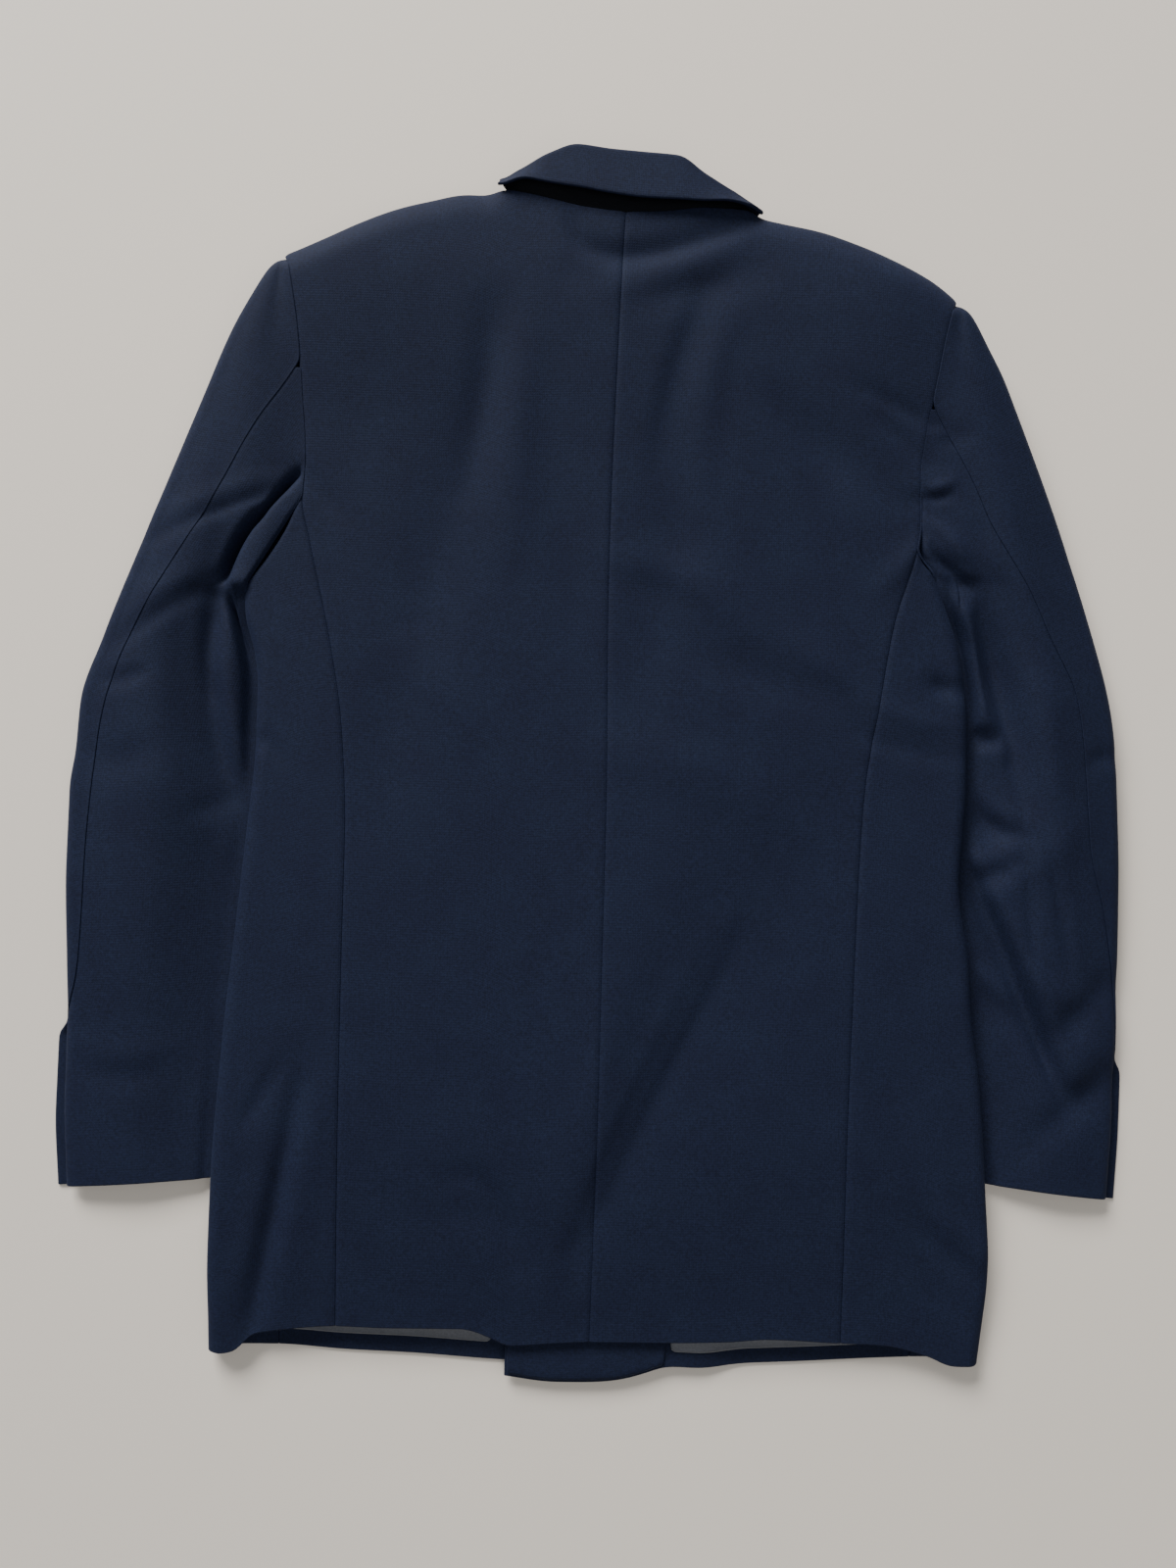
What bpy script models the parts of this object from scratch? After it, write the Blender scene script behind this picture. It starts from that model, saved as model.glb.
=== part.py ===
# A double-breasted blazer laid flat, face down, seen from its back.
# X runs to the wearer's right, Y from hem to collar, Z up from the surface that it lies on.
# The tables are in millimetres from the foot of the centre-back seam.
import math
import bpy
import numpy as np

MM = 0.001

# Cloth walls and the gap left at every seam
CLOTH = 2.0
SLEEVE_CLOTH = 1.8
LINING_CLOTH = 1.0
FACING_CLOTH = 1.2
SEAM_GAP = 0.45
UNDER_SEAM_GAP = 1.0
UNDERARM_EASE = 1.2

# Middle of the blazer's box, measured from the foot of the centre-back seam
BOX_X = 1.97
BOX_Y = 392.61

# Height of the middle of the lowest wall above the surface
FLOOR_LEVEL = CLOTH / 2
# How far the fronts stand off over the buttons and lapels, and over the tucked sleeves
BUTTON_LIFT = 4.0
SLEEVE_LIFT = 6.2
# How far the right front lies above the left one, and linings and facing above their front
OVERLAP_RISE = 3.9
LINING_RISE = 1.9
FACING_RISE = 2.0

# Centre-back seam: height above the hem, x
CENTRE_BACK = ((0, 0), (140, 1), (340, 1), (540, -2), (700, 0), (772, 2))

# Side-back seam and armhole, as one edge from hem to shoulder tip: height, x
BACK_EDGE_LEFT = (
    (11, -171), (120, -173), (240, -175), (340, -176), (412, -181), (465, -190), (538, -207),
    (567, -213), (593, -212), (635, -215), (672, -218), (700, -222), (724, -227), (733, -231))
BACK_EDGE_RIGHT = (
    (4, 172), (120, 172), (225, 174), (328, 177), (380, 180), (433, 188), (495, 198),
    (541, 211), (566, 215), (598, 214), (621, 216), (667, 223), (711, 231), (723, 237))
ARMHOLE_FOOT_LEFT = 567
ARMHOLE_FOOT_RIGHT = 545

# Side folds of the body: height above the hem, x
FOLD_LEFT = (
    (-10, -257), (10, -258), (58, -259), (104, -257), (205, -252), (271, -247), (337, -242),
    (397, -238), (437, -238), (460, -241), (484, -248), (504, -250))
FOLD_RIGHT = (
    (-12, 271), (15, 274), (50, 276), (110, 270), (175, 264), (226, 257), (258, 255), (317, 247),
    (350, 249), (383, 251), (435, 250), (481, 243), (510, 233), (528, 227))

# Shoulder line and back neck edge, from tip to centre: x, height
TOP_LEFT = (
    (-231, 733), (-222, 739), (-199, 752), (-179, 763), (-153, 774), (-133, 779), (-106, 785),
    (-84, 784), (-68, 781), (-51, 778), (-24, 773), (2, 771))
TOP_RIGHT = (
    (2, 771), (30, 773), (57, 777), (82, 777), (96, 776), (114, 773), (138, 768), (163, 760),
    (191, 748), (219, 734), (237, 723))
# The neck edge lies between these; outside them the shoulder rounds down
NECK_LEFT = -84
NECK_RIGHT = 92

# Lower edge of the back, and of the fronts below it: x, height
BACK_HEM = (
    (-257, -10), (-246, -11), (-235, -8), (-228, 1), (-201, 6), (-171, 8), (-135, 7), (-87, 7),
    (-64, 0), (-55, -4), (-23, -2), (0, -1), (50, -1), (94, 0), (122, 2), (172, 0), (200, -1),
    (233, -8), (252, -15), (266, -15), (273, -8))
LEFT_FRONT_HEM = ((-257, -9), (-232, -8), (-210, -8), (-166, -11), (-119, -13), (-57, -17), (62, -20))
RIGHT_FRONT_HEM = (
    (-57, -26), (-22, -30), (-3, -30), (16, -29), (35, -25), (55, -19), (78, -20), (104, -18),
    (147, -16), (203, -13), (235, -12), (273, -12))

# Edges of the fronts on the underside: height, x
LEFT_FRONT_EDGE = ((-20, 62), (330, 62), (360, 55), (780, -74))
RIGHT_FRONT_EDGE = ((-26, -57), (330, -57), (360, -50), (780, 82))
FRONT_ARMHOLE_LEFT = ((512, -206), (545, -197), (600, -197), (660, -207), (700, -218), (733, -231))
FRONT_ARMHOLE_RIGHT = ((545, 179), (575, 183), (620, 190), (665, 206), (700, 223), (723, 237))
FRONT_SEAM_IN = 45
BACK_ROWS = 26
BACK_COLUMNS = 10
FRONT_ROWS = 20
HEM_TURN = 10
LINING_ROWS = 15
FRONT_COLUMNS = (0, 0.1, 0.21, 0.33, 0.44, 0.545, 0.61, 0.74, 0.87, 1)
LINING_COLUMN_LEFT = 5
FACING_COLUMN = 6

# Height of the back cloth's middle over the surface: height above the hem, level
BACK_LEVEL = (
    (-30, 10), (0, 10.5), (60, 14), (150, 17), (350, 17), (500, 18), (600, 21), (680, 26),
    (740, 29), (800, 29))
SHOULDER_SEAM_LEVEL = 15
SHOULDER_SPLIT = 0.45
SHOULDER_ROUND = 22
FOLD_ROUND = 11
# Length of the body from hem to shoulder, for spacing the rows
BODY_LENGTH = 740
# Padded shoulder: its middle from the centre-back seam and the hem, half width and length, rise
SHOULDER_PAD = (190, 715, 60, 70, 4.5)

# Largest folds of the back: three points of the crest or trough, half width, rise
BACK_FOLDS = (
    (-78, 690, -128, 520, -158, 350, 26, -2.6),
    (-52, 660, -38, 560, -8, 440, 22, -1.8),
    (70, 690, 36, 520, 18, 430, 22, -2.0),
    (160, 380, 90, 250, 10, 90, 42, -2.6),
    (60, 420, 20, 260, -40, 70, 40, 1.6),
    (0, 400, 80, 395, 130, 350, 20, 1.8),
    (232, 560, 150, 610, 120, 650, 14, -1.4),
    (-200, 190, -210, 110, -224, 20, 12, -2.2),
    (200, 80, 225, 50, 250, 20, 12, -1.6),
    (-30, 726, 20, 712, 90, 732, 14, -3.2),
)

# Outer and inner folds of the sleeves: height above the hem, x
SLEEVE_OUT_LEFT = (
    (97, -354), (150, -358), (204, -358), (249, -360), (313, -363), (364, -363), (390, -360),
    (424, -358), (466, -345), (533, -323), (599, -298), (643, -282), (680, -267), (711, -251),
    (727, -242))
SLEEVE_OUT_RIGHT = (
    (102, 358), (150, 361), (193, 362), (272, 363), (320, 363), (375, 361), (410, 360), (455, 357),
    (482, 350), (519, 339), (566, 325), (621, 302), (670, 280), (699, 266), (717, 250))
SLEEVE_IN_LEFT = (
    (97, -208), (180, -198), (260, -188), (337, -182), (385, -192), (410, -208), (435, -230),
    (460, -248), (480, -253), (504, -255))
SLEEVE_IN_RIGHT = (
    (107, 212), (180, 203), (260, 192), (337, 184), (390, 196), (415, 214), (440, 240), (460, 252),
    (485, 249), (510, 239), (528, 233))

# Hind-arm seams, from cuff vent to armhole: height, x
HIND_LEFT = (
    (97, -354), (204, -360), (220, -356), (240, -352), (278, -350), (324, -349), (359, -347), (403, -343),
    (433, -337), (476, -321), (513, -301), (548, -280), (586, -260), (621, -241), (640, -229))
HIND_RIGHT = (
    (102, 358), (193, 362), (240, 360), (273, 355), (296, 351), (344, 339), (404, 334), (446, 327),
    (490, 305), (519, 291), (565, 263), (594, 250), (628, 231))
VENT_TOP_LEFT = 204
VENT_TOP_RIGHT = 193
VENT_UNDERLAP = 8

# Height of the sleeve's upper wall: height above the hem, near the outer fold, crown, inner edge
SLEEVE_LEVELS = (
    (90, 7.5, 10, 7), (200, 9, 13, 5.5), (300, 11, 17, 5), (400, 12, 19, 5), (450, 13, 21, 6),
    (504, 14, 22, 14), (550, 16, 24, 18), (600, 19, 26, 21), (650, 22, 28, 25), (700, 24, 30, 27),
    (735, 24, 28, 26))
TUCKED_LEVEL = 4.3
TUCK_START = 6
SLEEVE_BEND = 2.2
SLEEVE_ROWS = 28
FOLD_WEIGHT = 3.5
BEND_WEIGHT = 7
SEAM_TURN = 0.1
UPPER_COLUMNS = 15
UNDER_COLUMNS = 15
ARMHOLE_GAP = 1.0
SLEEVE_ROUND = 9

# Largest creases of the sleeves: three points, half width, rise
SLEEVE_FOLDS = (
    (-270, 640, -262, 560, -268, 500, 12, -2.4),
    (-310, 480, -285, 440, -262, 420, 14, -2.2),
    (-300, 395, -320, 380, -345, 385, 12, -1.6),
    (268, 600, 300, 480, 320, 330, 14, 2.4),
    (256, 560, 270, 480, 275, 400, 10, -2.2),
    (262, 290, 300, 215, 330, 165, 12, -3.0),
    (262, 300, 300, 330, 335, 360, 12, 2.0),
    (290, 250, 330, 240, 352, 230, 10, 1.6),
)

# Collar: roll point, then the way from it to the fall's edge and to the stand's edge
COLLAR = (
    (-93, 791.5, 18, 0, -4, 6, 3, -3, -3),
    (-82, 791.5, 24.5, -2, -7, 8, 4, -4.5, -3),
    (-70, 796, 29, -1, -9, 7, 4, -14.4, -3),
    (-51, 807, 32, 0, -22, 4, 2, -28.4, -4),
    (-32, 814, 32, 0, -31, 4, 3, -39.2, -4),
    (-10, 812, 32, 0, -32, 4, 2, -39.7, -4),
    (12, 811, 32, 0, -33, 4, 1, -38.8, -4),
    (36, 810, 32, 0, -32, 4, 0, -35.5, -4),
    (55, 799, 31, 0, -21, 5, -1, -21.6, -3),
    (74, 789, 29, 0, -10, 7, -4, -10.8, -3),
    (87, 784, 24.5, 2, -6, 8, -4, -4, -3),
    (98, 781.5, 18, 0, -4, 6, -3, -3, -3),
)
COLLAR_ROLL = 2.4

# Front buttons on the underside: x, height above the hem
BUTTONS = ((-42, 205), (42, 205), (-42, 315), (42, 315), (-66, 430), (68, 430))
BUTTON_WIDTH = 20
BUTTON_THICK = 3.6

# Lapels on the underside, just under the fronts: foot and top of the roll edge, peak, neck corner
LAPEL_LEFT = ((44, 372), (-60, 716), (-152, 632), (-128, 700))
LAPEL_RIGHT = ((8, 545), (62, 700), (150, 640), (128, 700))
LAPEL_LEVEL = FLOOR_LEVEL + BUTTON_LIFT - CLOTH - 0.35
LAPEL_ROWS = 6
# Blunt foot of the lapel, and the part of its length where the notch begins
LAPEL_FOOT = (8, 2)
LAPEL_NOTCH = 0.84


def smooth_step(low, high, value):
    """Rise from 0 at low to 1 at high with soft ends."""
    part = min(1.0, max(0.0, (value - low) / (high - low)))
    return part * part * (3 - 2 * part)


def along(table, at, column=1):
    """Smooth value of a table's column at a place in its first column."""
    keys = [row[0] for row in table]
    values = [row[column] for row in table]
    if at <= keys[0]:
        return values[0]
    if at >= keys[-1]:
        return values[-1]
    last = len(keys) - 1
    k = min(last - 1, max(0, int(np.searchsorted(keys, at)) - 1))
    span = keys[k + 1] - keys[k]
    rise = (values[k + 1] - values[k]) / span
    before = rise if k == 0 else (values[k] - values[k - 1]) / (keys[k] - keys[k - 1])
    after = rise if k + 1 == last else (values[k + 2] - values[k + 1]) / (keys[k + 2] - keys[k + 1])
    start = 0 if before * rise <= 0 else 2 * before * rise / (before + rise)
    end = 0 if after * rise <= 0 else 2 * after * rise / (after + rise)
    t = (at - keys[k]) / span
    return ((1 + 2 * t) * (1 - t) ** 2 * values[k] + t * (1 - t) ** 2 * span * start
            + t * t * (3 - 2 * t) * values[k + 1] + t * t * (t - 1) * span * end)


def fold_relief(folds, x, y):
    """Sum of the soft ridges and troughs at a point."""
    total = 0.0
    for x0, y0, x1, y1, x2, y2, width, rise in folds:
        near = 1e9
        near_t = 0.0
        for step in range(13):
            t = step / 12
            px = (1 - t) ** 2 * x0 + 2 * t * (1 - t) * x1 + t * t * x2
            py = (1 - t) ** 2 * y0 + 2 * t * (1 - t) * y1 + t * t * y2
            gap = (x - px) ** 2 + (y - py) ** 2
            if gap < near:
                near = gap
                near_t = t
        ends = math.sin(math.pi * (0.12 + 0.76 * near_t))
        total += rise * ends * math.exp(-near / width ** 2)
    return total


def shoulder_fall(x, y):
    """How far round the shoulder a point lies, 0 on the flat and 1 at the shoulder seam."""
    top = along(TOP_LEFT, x) if x < 2 else along(TOP_RIGHT, x)
    outside = max(smooth_step(NECK_LEFT + 8, NECK_LEFT - 6, x) if x < 0 else 0.0,
                  smooth_step(NECK_RIGHT - 8, NECK_RIGHT + 6, x) if x > 0 else 0.0)
    part = min(1.0, max(0.0, 1 - (top - y) / SHOULDER_ROUND))
    return outside * (1 - math.sqrt(1 - part * part))


def back_level(x, y):
    """Middle of the back cloth."""
    level = along(BACK_LEVEL, y) + fold_relief(BACK_FOLDS, x, y)
    pad_x, pad_y, half_width, half_length, rise = SHOULDER_PAD
    level += rise * math.exp(-((abs(x) - pad_x) / half_width) ** 2 - ((y - pad_y) / half_length) ** 2)
    fall = shoulder_fall(x, y)
    return level * (1 - fall) + (SHOULDER_SEAM_LEVEL + SHOULDER_SPLIT) * fall


def sleeve_under(x, y):
    """1 where a tucked sleeve lies under the body, 0 away from it."""
    if x < 0:
        inner = along(SLEEVE_IN_LEFT, y)
        across = smooth_step(inner + 54, inner + 22, x)
        top = smooth_step(556, 512, y)
    else:
        inner = along(SLEEVE_IN_RIGHT, y)
        across = smooth_step(inner - 54, inner - 22, x)
        top = smooth_step(590, 545, y)
    return across * top * smooth_step(2, 46, y)


def front_lift(x, y):
    """Rise of the fronts over the tucked sleeves, the lapels and the buttons."""
    middle = smooth_step(-190, -158, x) * smooth_step(190, 158, x)
    middle *= smooth_step(90, 160, y) * smooth_step(775, 740, y)
    return max(BUTTON_LIFT * middle, SLEEVE_LIFT * sleeve_under(x, y))


def round_to_shoulder(level, x, y):
    """Bend a front's level up to the shoulder seam."""
    fall = shoulder_fall(x, y)
    return level * (1 - fall) + (SHOULDER_SEAM_LEVEL - SHOULDER_SPLIT) * fall


def left_front_level(x, y):
    return round_to_shoulder(FLOOR_LEVEL + front_lift(x, y), x, y)


def right_front_level(x, y):
    edge = along(LEFT_FRONT_EDGE, y)
    over = smooth_step(edge + 46, edge + 8, x)
    return round_to_shoulder(FLOOR_LEVEL + front_lift(x, y) + OVERLAP_RISE * over, x, y)


def trimmed(points):
    """Take half a seam gap off both ends of a row of points."""
    out = [np.array(p, float) for p in points]
    for end, beside in ((0, 1), (-1, -2)):
        way = out[beside] - out[end]
        out[end] = out[end] + way * (SEAM_GAP / 2 / np.linalg.norm(way))
    return out


def wall_from_grid(name, grid, thick, material):
    """Closed cloth wall round a grid of middle points, rows by columns, in millimetres."""
    grid = [trimmed(row) for row in grid]
    turned = [trimmed(column) for column in zip(*grid)]
    middle = np.array(turned).transpose(1, 0, 2)
    rows, columns = middle.shape[:2]
    up = np.gradient(middle, axis=0)
    across = np.gradient(middle, axis=1)
    normal = np.cross(across, up)
    normal /= np.linalg.norm(normal, axis=2, keepdims=True)
    sides = [middle + normal * thick / 2, middle - normal * thick / 2]
    points = []
    for side in sides:
        for row in side:
            points += [((p[0] - BOX_X) * MM, (p[1] - BOX_Y) * MM, p[2] * MM) for p in row]
    count = rows * columns
    faces = []
    for r in range(rows - 1):
        for c in range(columns - 1):
            a = r * columns + c
            for b, d in ((a + 1, a + columns + 1), (a + columns + 1, a + columns)):
                faces.append((a, b, d))
                faces.append((a + count, d + count, b + count))
    rim = list(range(columns))
    rim += [r * columns + columns - 1 for r in range(1, rows)]
    rim += [(rows - 1) * columns + c for c in range(columns - 2, -1, -1)]
    rim += [r * columns for r in range(rows - 2, 0, -1)]
    for k, a in enumerate(rim):
        b = rim[(k + 1) % len(rim)]
        faces.append((b, a, a + count, b + count))
    mesh = bpy.data.meshes.new(name)
    mesh.from_pydata(points, [], faces)
    mesh.update()
    mesh.shade_smooth()
    mesh.set_sharp_from_angle(angle=math.radians(50))
    mesh.materials.append(material)
    thing = bpy.data.objects.new(name, mesh)
    bpy.context.collection.objects.link(thing)
    return thing


def make_material(name, colour, roughness):
    material = bpy.data.materials.new(name)
    material.use_nodes = True
    shader = material.node_tree.nodes["Principled BSDF"]
    shader.inputs["Base Color"].default_value = (*colour, 1)
    shader.inputs["Roughness"].default_value = roughness
    shader.inputs["Metallic"].default_value = 0
    return material


def table_edge(table, low, high, part):
    """Point on an edge given as x by height, a part of the way from low to high."""
    y = low + (high - low) * part
    return np.array((along(table, y), y))


def patch(left, right, bottom, top, rows, columns):
    """Fill four edges, each a function of 0 to 1, with a grid of points in the plane."""
    corner = [[left(0), right(0)], [left(1), right(1)]]
    grid = []
    for v in rows:
        line = []
        for u in columns:
            blend = (1 - u) * left(v) + u * right(v) + (1 - v) * bottom(u) + v * top(u)
            blend -= (1 - v) * ((1 - u) * corner[0][0] + u * corner[0][1])
            blend -= v * ((1 - u) * corner[1][0] + u * corner[1][1])
            line.append(blend)
        grid.append(line)
    return grid


def lifted(grid, level, rise=0.0):
    """Give each point of a plane grid its height."""
    return [[(p[0], p[1], level(p[0], p[1]) + rise) for p in row] for row in grid]


def even(count):
    return [k / count for k in range(count + 1)]


def shoulder_rows(count, length):
    """Even rows, with closer ones where the cloth rounds over the shoulder."""
    last = 1 - (SHOULDER_ROUND + 10) / length
    close = [1 - (1 - last) * part for part in (0.72, 0.45, 0.24, 0.09, 0)]
    return [last * k / count for k in range(count + 1)] + close


def height_by_x(table, start, end):
    """Edge given as height by x, as a function of 0 to 1."""
    def at(part):
        x = start + (end - start) * part
        return np.array((x, along(table, x)))
    return at


def back_half(name, material, left_table, right_table, top_table):
    left_low = along(BACK_HEM, left_table[0][1])
    right_low = along(BACK_HEM, right_table[0][1])
    left_top = along(top_table, left_table[-1][1])
    right_top = along(top_table, right_table[-1][1])
    grid = patch(
        lambda v: table_edge(left_table, left_low, left_top, v),
        lambda v: table_edge(right_table, right_low, right_top, v),
        height_by_x(BACK_HEM, left_table[0][1], right_table[0][1]),
        height_by_x(top_table, left_table[-1][1], right_table[-1][1]),
        shoulder_rows(BACK_ROWS, BODY_LENGTH), even(BACK_COLUMNS))
    return wall_from_grid(name, lifted(grid, back_level), CLOTH, material)


def under_seam(side, y):
    """Seam between side panel and front, on the underside."""
    folds = FOLD_LEFT if side < 0 else FOLD_RIGHT
    foot, x_foot = (FRONT_ARMHOLE_LEFT if side < 0 else FRONT_ARMHOLE_RIGHT)[0]
    plain = along(folds, y) - side * FRONT_SEAM_IN
    shift = x_foot - (along(folds, foot) - side * FRONT_SEAM_IN)
    return plain + shift * smooth_step(foot - 110, foot, y)


def side_section(side, y, part):
    """Point of the side panel's section, from the side-back seam round the fold to the underside."""
    seam = along(BACK_EDGE_LEFT if side < 0 else BACK_EDGE_RIGHT, y)
    fold = along(FOLD_LEFT if side < 0 else FOLD_RIGHT, y)
    under = left_front_level if side < 0 else right_front_level
    start = fold - side * min(FOLD_ROUND, 0.6 * abs(fold - seam))
    reach = abs(fold - start)
    top_level = back_level(start, y)
    low_level = under(fold - side * FOLD_ROUND, y)
    middle = (top_level + low_level) / 2
    half = (top_level - low_level) / 2
    if part < 0.5:
        x = seam + (start - seam) * part / 0.5
        return x, back_level(x, y)
    if part < 0.8:
        angle = math.pi * (0.5 - (part - 0.5) / 0.3)
        x = start + side * reach * math.cos(angle)
        if angle < 0:
            x = fold - side * FOLD_ROUND * (1 - math.cos(angle))
        return x, middle + half * math.sin(angle)
    x = fold - side * FOLD_ROUND
    gap = UNDER_SEAM_GAP + UNDERARM_EASE * smooth_step(450, 500, y)
    x += (under_seam(side, y) + side * gap - x) * (part - 0.8) / 0.2
    return x, under(x, y)


def side_panel(name, material, side):
    top_seam = ARMHOLE_FOOT_LEFT if side < 0 else ARMHOLE_FOOT_RIGHT
    top_fold = FOLD_LEFT[-1][0] if side < 0 else FOLD_RIGHT[-1][0]
    top_under = FRONT_ARMHOLE_LEFT[0][0] if side < 0 else FRONT_ARMHOLE_RIGHT[0][0]
    x_seam = side_section(side, top_fold, 0)[0]
    x_fold = side_section(side, top_fold, 0.65)[0]
    front_hem = LEFT_FRONT_HEM if side < 0 else RIGHT_FRONT_HEM
    parts = [0, 0.12, 0.24, 0.37, 0.5, 0.575, 0.65, 0.725, 0.8, 0.9, 1]
    grid = []
    for v in even(BACK_ROWS):
        row = []
        for part in parts:
            x_top = side_section(side, top_fold, part)[0]
            top = top_seam + (top_fold - top_seam) * min(1, abs(x_top - x_seam) / abs(x_fold - x_seam))
            if part > 0.65:
                top = top_fold + (top_under - top_fold) * smooth_step(0.7, 1, part)
            x_low = side_section(side, 0, part)[0]
            low = along(BACK_HEM if part <= 0.65 else front_hem, x_low)
            y = low + (top - low) * v
            x, z = side_section(side, y, part)
            row.append((x, y, z))
        grid.append(row if side > 0 else row[::-1])
    return wall_from_grid(name, grid, CLOTH, material)


def front_outline(side):
    """The four edges of a front, each a function of 0 to 1."""
    hem = LEFT_FRONT_HEM if side < 0 else RIGHT_FRONT_HEM
    armhole = FRONT_ARMHOLE_LEFT if side < 0 else FRONT_ARMHOLE_RIGHT
    opening = LEFT_FRONT_EDGE if side < 0 else RIGHT_FRONT_EDGE
    shoulder = TOP_LEFT if side < 0 else TOP_RIGHT
    neck = NECK_LEFT + 6 if side < 0 else NECK_RIGHT - 8
    outer_low = along(hem, under_seam(side, 0))
    inner_low = along(hem, opening[0][1])
    foot = armhole[0][0]

    def outer(part):
        y = outer_low + (armhole[-1][0] - outer_low) * part
        return np.array((under_seam(side, y) if y < foot else along(armhole, y), y))

    def inner(part):
        return table_edge(opening, inner_low, along(shoulder, neck), part)

    return (outer, inner, height_by_x(hem, outer(0)[0], inner(0)[0]),
            height_by_x(shoulder, armhole[-1][1], inner(1)[0]))


def front_grid(side):
    """Middle of a front, rows from hem to shoulder, columns from the side to the front edge."""
    level = left_front_level if side < 0 else right_front_level
    rows = shoulder_rows(FRONT_ROWS, BODY_LENGTH)
    rows.insert(1, HEM_TURN / BODY_LENGTH)
    plane = patch(*front_outline(side), rows, FRONT_COLUMNS)
    return lifted(plane, level)


def grid_normals(middle, side):
    """Unit normals of a grid of points, on the side away from the surface below."""
    up = np.gradient(middle, axis=0)
    across = np.gradient(middle, axis=1)
    normal = np.cross(across, up) * -side
    return normal / np.linalg.norm(normal, axis=2, keepdims=True)


def front(name, material, side):
    grid = front_grid(side)
    return wall_from_grid(name, [row if side < 0 else row[::-1] for row in grid], CLOTH, material)


def inside_layer(name, material, side, first, last, low_row, rise, thick):
    """Lining or facing on the inside of a front, made from its points moved out."""
    middle = np.array(front_grid(side))
    moved = (middle + grid_normals(middle, side) * rise)[low_row:LINING_ROWS, first:last + 1]
    rows = [list(row) for row in moved]
    return wall_from_grid(name, [row if side < 0 else row[::-1] for row in rows], thick, material)


def sleeve_tables(side):
    if side < 0:
        return SLEEVE_OUT_LEFT, SLEEVE_IN_LEFT, HIND_LEFT, FRONT_ARMHOLE_LEFT, FOLD_LEFT
    return SLEEVE_OUT_RIGHT, SLEEVE_IN_RIGHT, HIND_RIGHT, FRONT_ARMHOLE_RIGHT, FOLD_RIGHT


def armhole_on_top(side, y):
    """The armhole seam where it shows: down the back, then out to the side fold under the arm."""
    edge = BACK_EDGE_LEFT if side < 0 else BACK_EDGE_RIGHT
    foot = ARMHOLE_FOOT_LEFT if side < 0 else ARMHOLE_FOOT_RIGHT
    fold = FOLD_LEFT if side < 0 else FOLD_RIGHT
    if y >= foot:
        return along(edge, y)
    part = (foot - y) / (foot - fold[-1][0])
    return along(edge, foot) + (fold[-1][1] - along(edge, foot)) * min(1.0, part)


def sleeve_level(side, x, y):
    """Middle of the sleeve's upper wall."""
    out_table, in_table, _, _, fold = sleeve_tables(side)
    outer = along(out_table, y)
    underarm = in_table[-1][0]
    body = armhole_on_top(side, y) if y > underarm else along(fold, y) + side * TUCK_START
    part = min(1.0, max(0.0, (x - outer) / (body - outer)))
    near, crown, inner = (along(SLEEVE_LEVELS, y, column) for column in (1, 2, 3))
    if part < 0.45:
        level = near + (crown - near) * math.sin(math.pi / 2 * part / 0.45)
    else:
        level = crown + (inner - crown) * smooth_step(0.45, 1, part)
    level += fold_relief(SLEEVE_FOLDS, x, y) * smooth_step(0, 0.12, part) * smooth_step(1, 0.9, part)
    if y > underarm:
        join = back_level(body, y)
        return level + (join - inner) * smooth_step(0.6, 1, part)
    past = side * (body - x)
    tuck = smooth_step(-8, 0, past) * smooth_step(underarm - 5, underarm - 50, y)
    return level * (1 - tuck) + TUCKED_LEVEL * tuck


def outer_fold(side, y, angle):
    """Point of the sleeve's outer fold, from pi/2 on top to -pi/2 underneath."""
    outer = along(sleeve_tables(side)[0], y)
    top = sleeve_level(side, outer - side * SLEEVE_ROUND, y)
    low = SLEEVE_CLOTH / 2
    x = outer - side * SLEEVE_ROUND * (1 - math.cos(angle))
    return x, (top + low) / 2 + (top - low) / 2 * math.sin(angle)


def spread(pieces, count):
    """Spread points along a section, closer where a piece has more weight."""
    points = []
    places = []
    reach = 0.0
    for weight, piece in pieces:
        for p in piece:
            p = np.array(p, float)
            if points:
                step = np.linalg.norm(p - points[-1])
                if step < 1e-6:
                    continue
                reach += step * weight
            points.append(p)
            places.append(reach)
    line = np.array(points)
    at = np.linspace(0, reach, count + 1)
    return [np.array([np.interp(t, places, line[:, axis]) for axis in range(3)]) for t in at]


def run(start, end, steps=24):
    """Even x places from start to end."""
    return [start + (end - start) * k / steps for k in range(steps + 1)]


def sleeve_rows(side):
    """Heights of the sleeve's sections, from the cuff to just under the shoulder tip."""
    out_table = sleeve_tables(side)[0]
    return [out_table[0][0] + (out_table[-1][0] - out_table[0][0]) * v for v in even(SLEEVE_ROWS)]


def fore_seam(side, y):
    """Seam between the two sleeve pieces on the underside, near the inner fold."""
    in_table = sleeve_tables(side)[1]
    underarm = in_table[-1][0]
    return along(in_table, y) + side * (5 + 11 * smooth_step(underarm, underarm - 60, y))


def fold_angle(side, y, x):
    """Angle on the outer fold at a point of the upper wall."""
    past = side * (along(sleeve_tables(side)[0], y) - x)
    return math.acos(max(-1.0, min(1.0, 1 - past / SLEEVE_ROUND)))


def outer_point(side, y, angle):
    x, z = outer_fold(side, y, angle)
    return x, y, z


def upper_wall(side, x, y):
    """Point of the sleeve's upper wall, bent down where it nears the outer fold."""
    if side * (along(sleeve_tables(side)[0], y) - x) < SLEEVE_ROUND:
        return x, y, outer_fold(side, y, fold_angle(side, y, x))[1]
    return x, y, sleeve_level(side, x, y)


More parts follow.
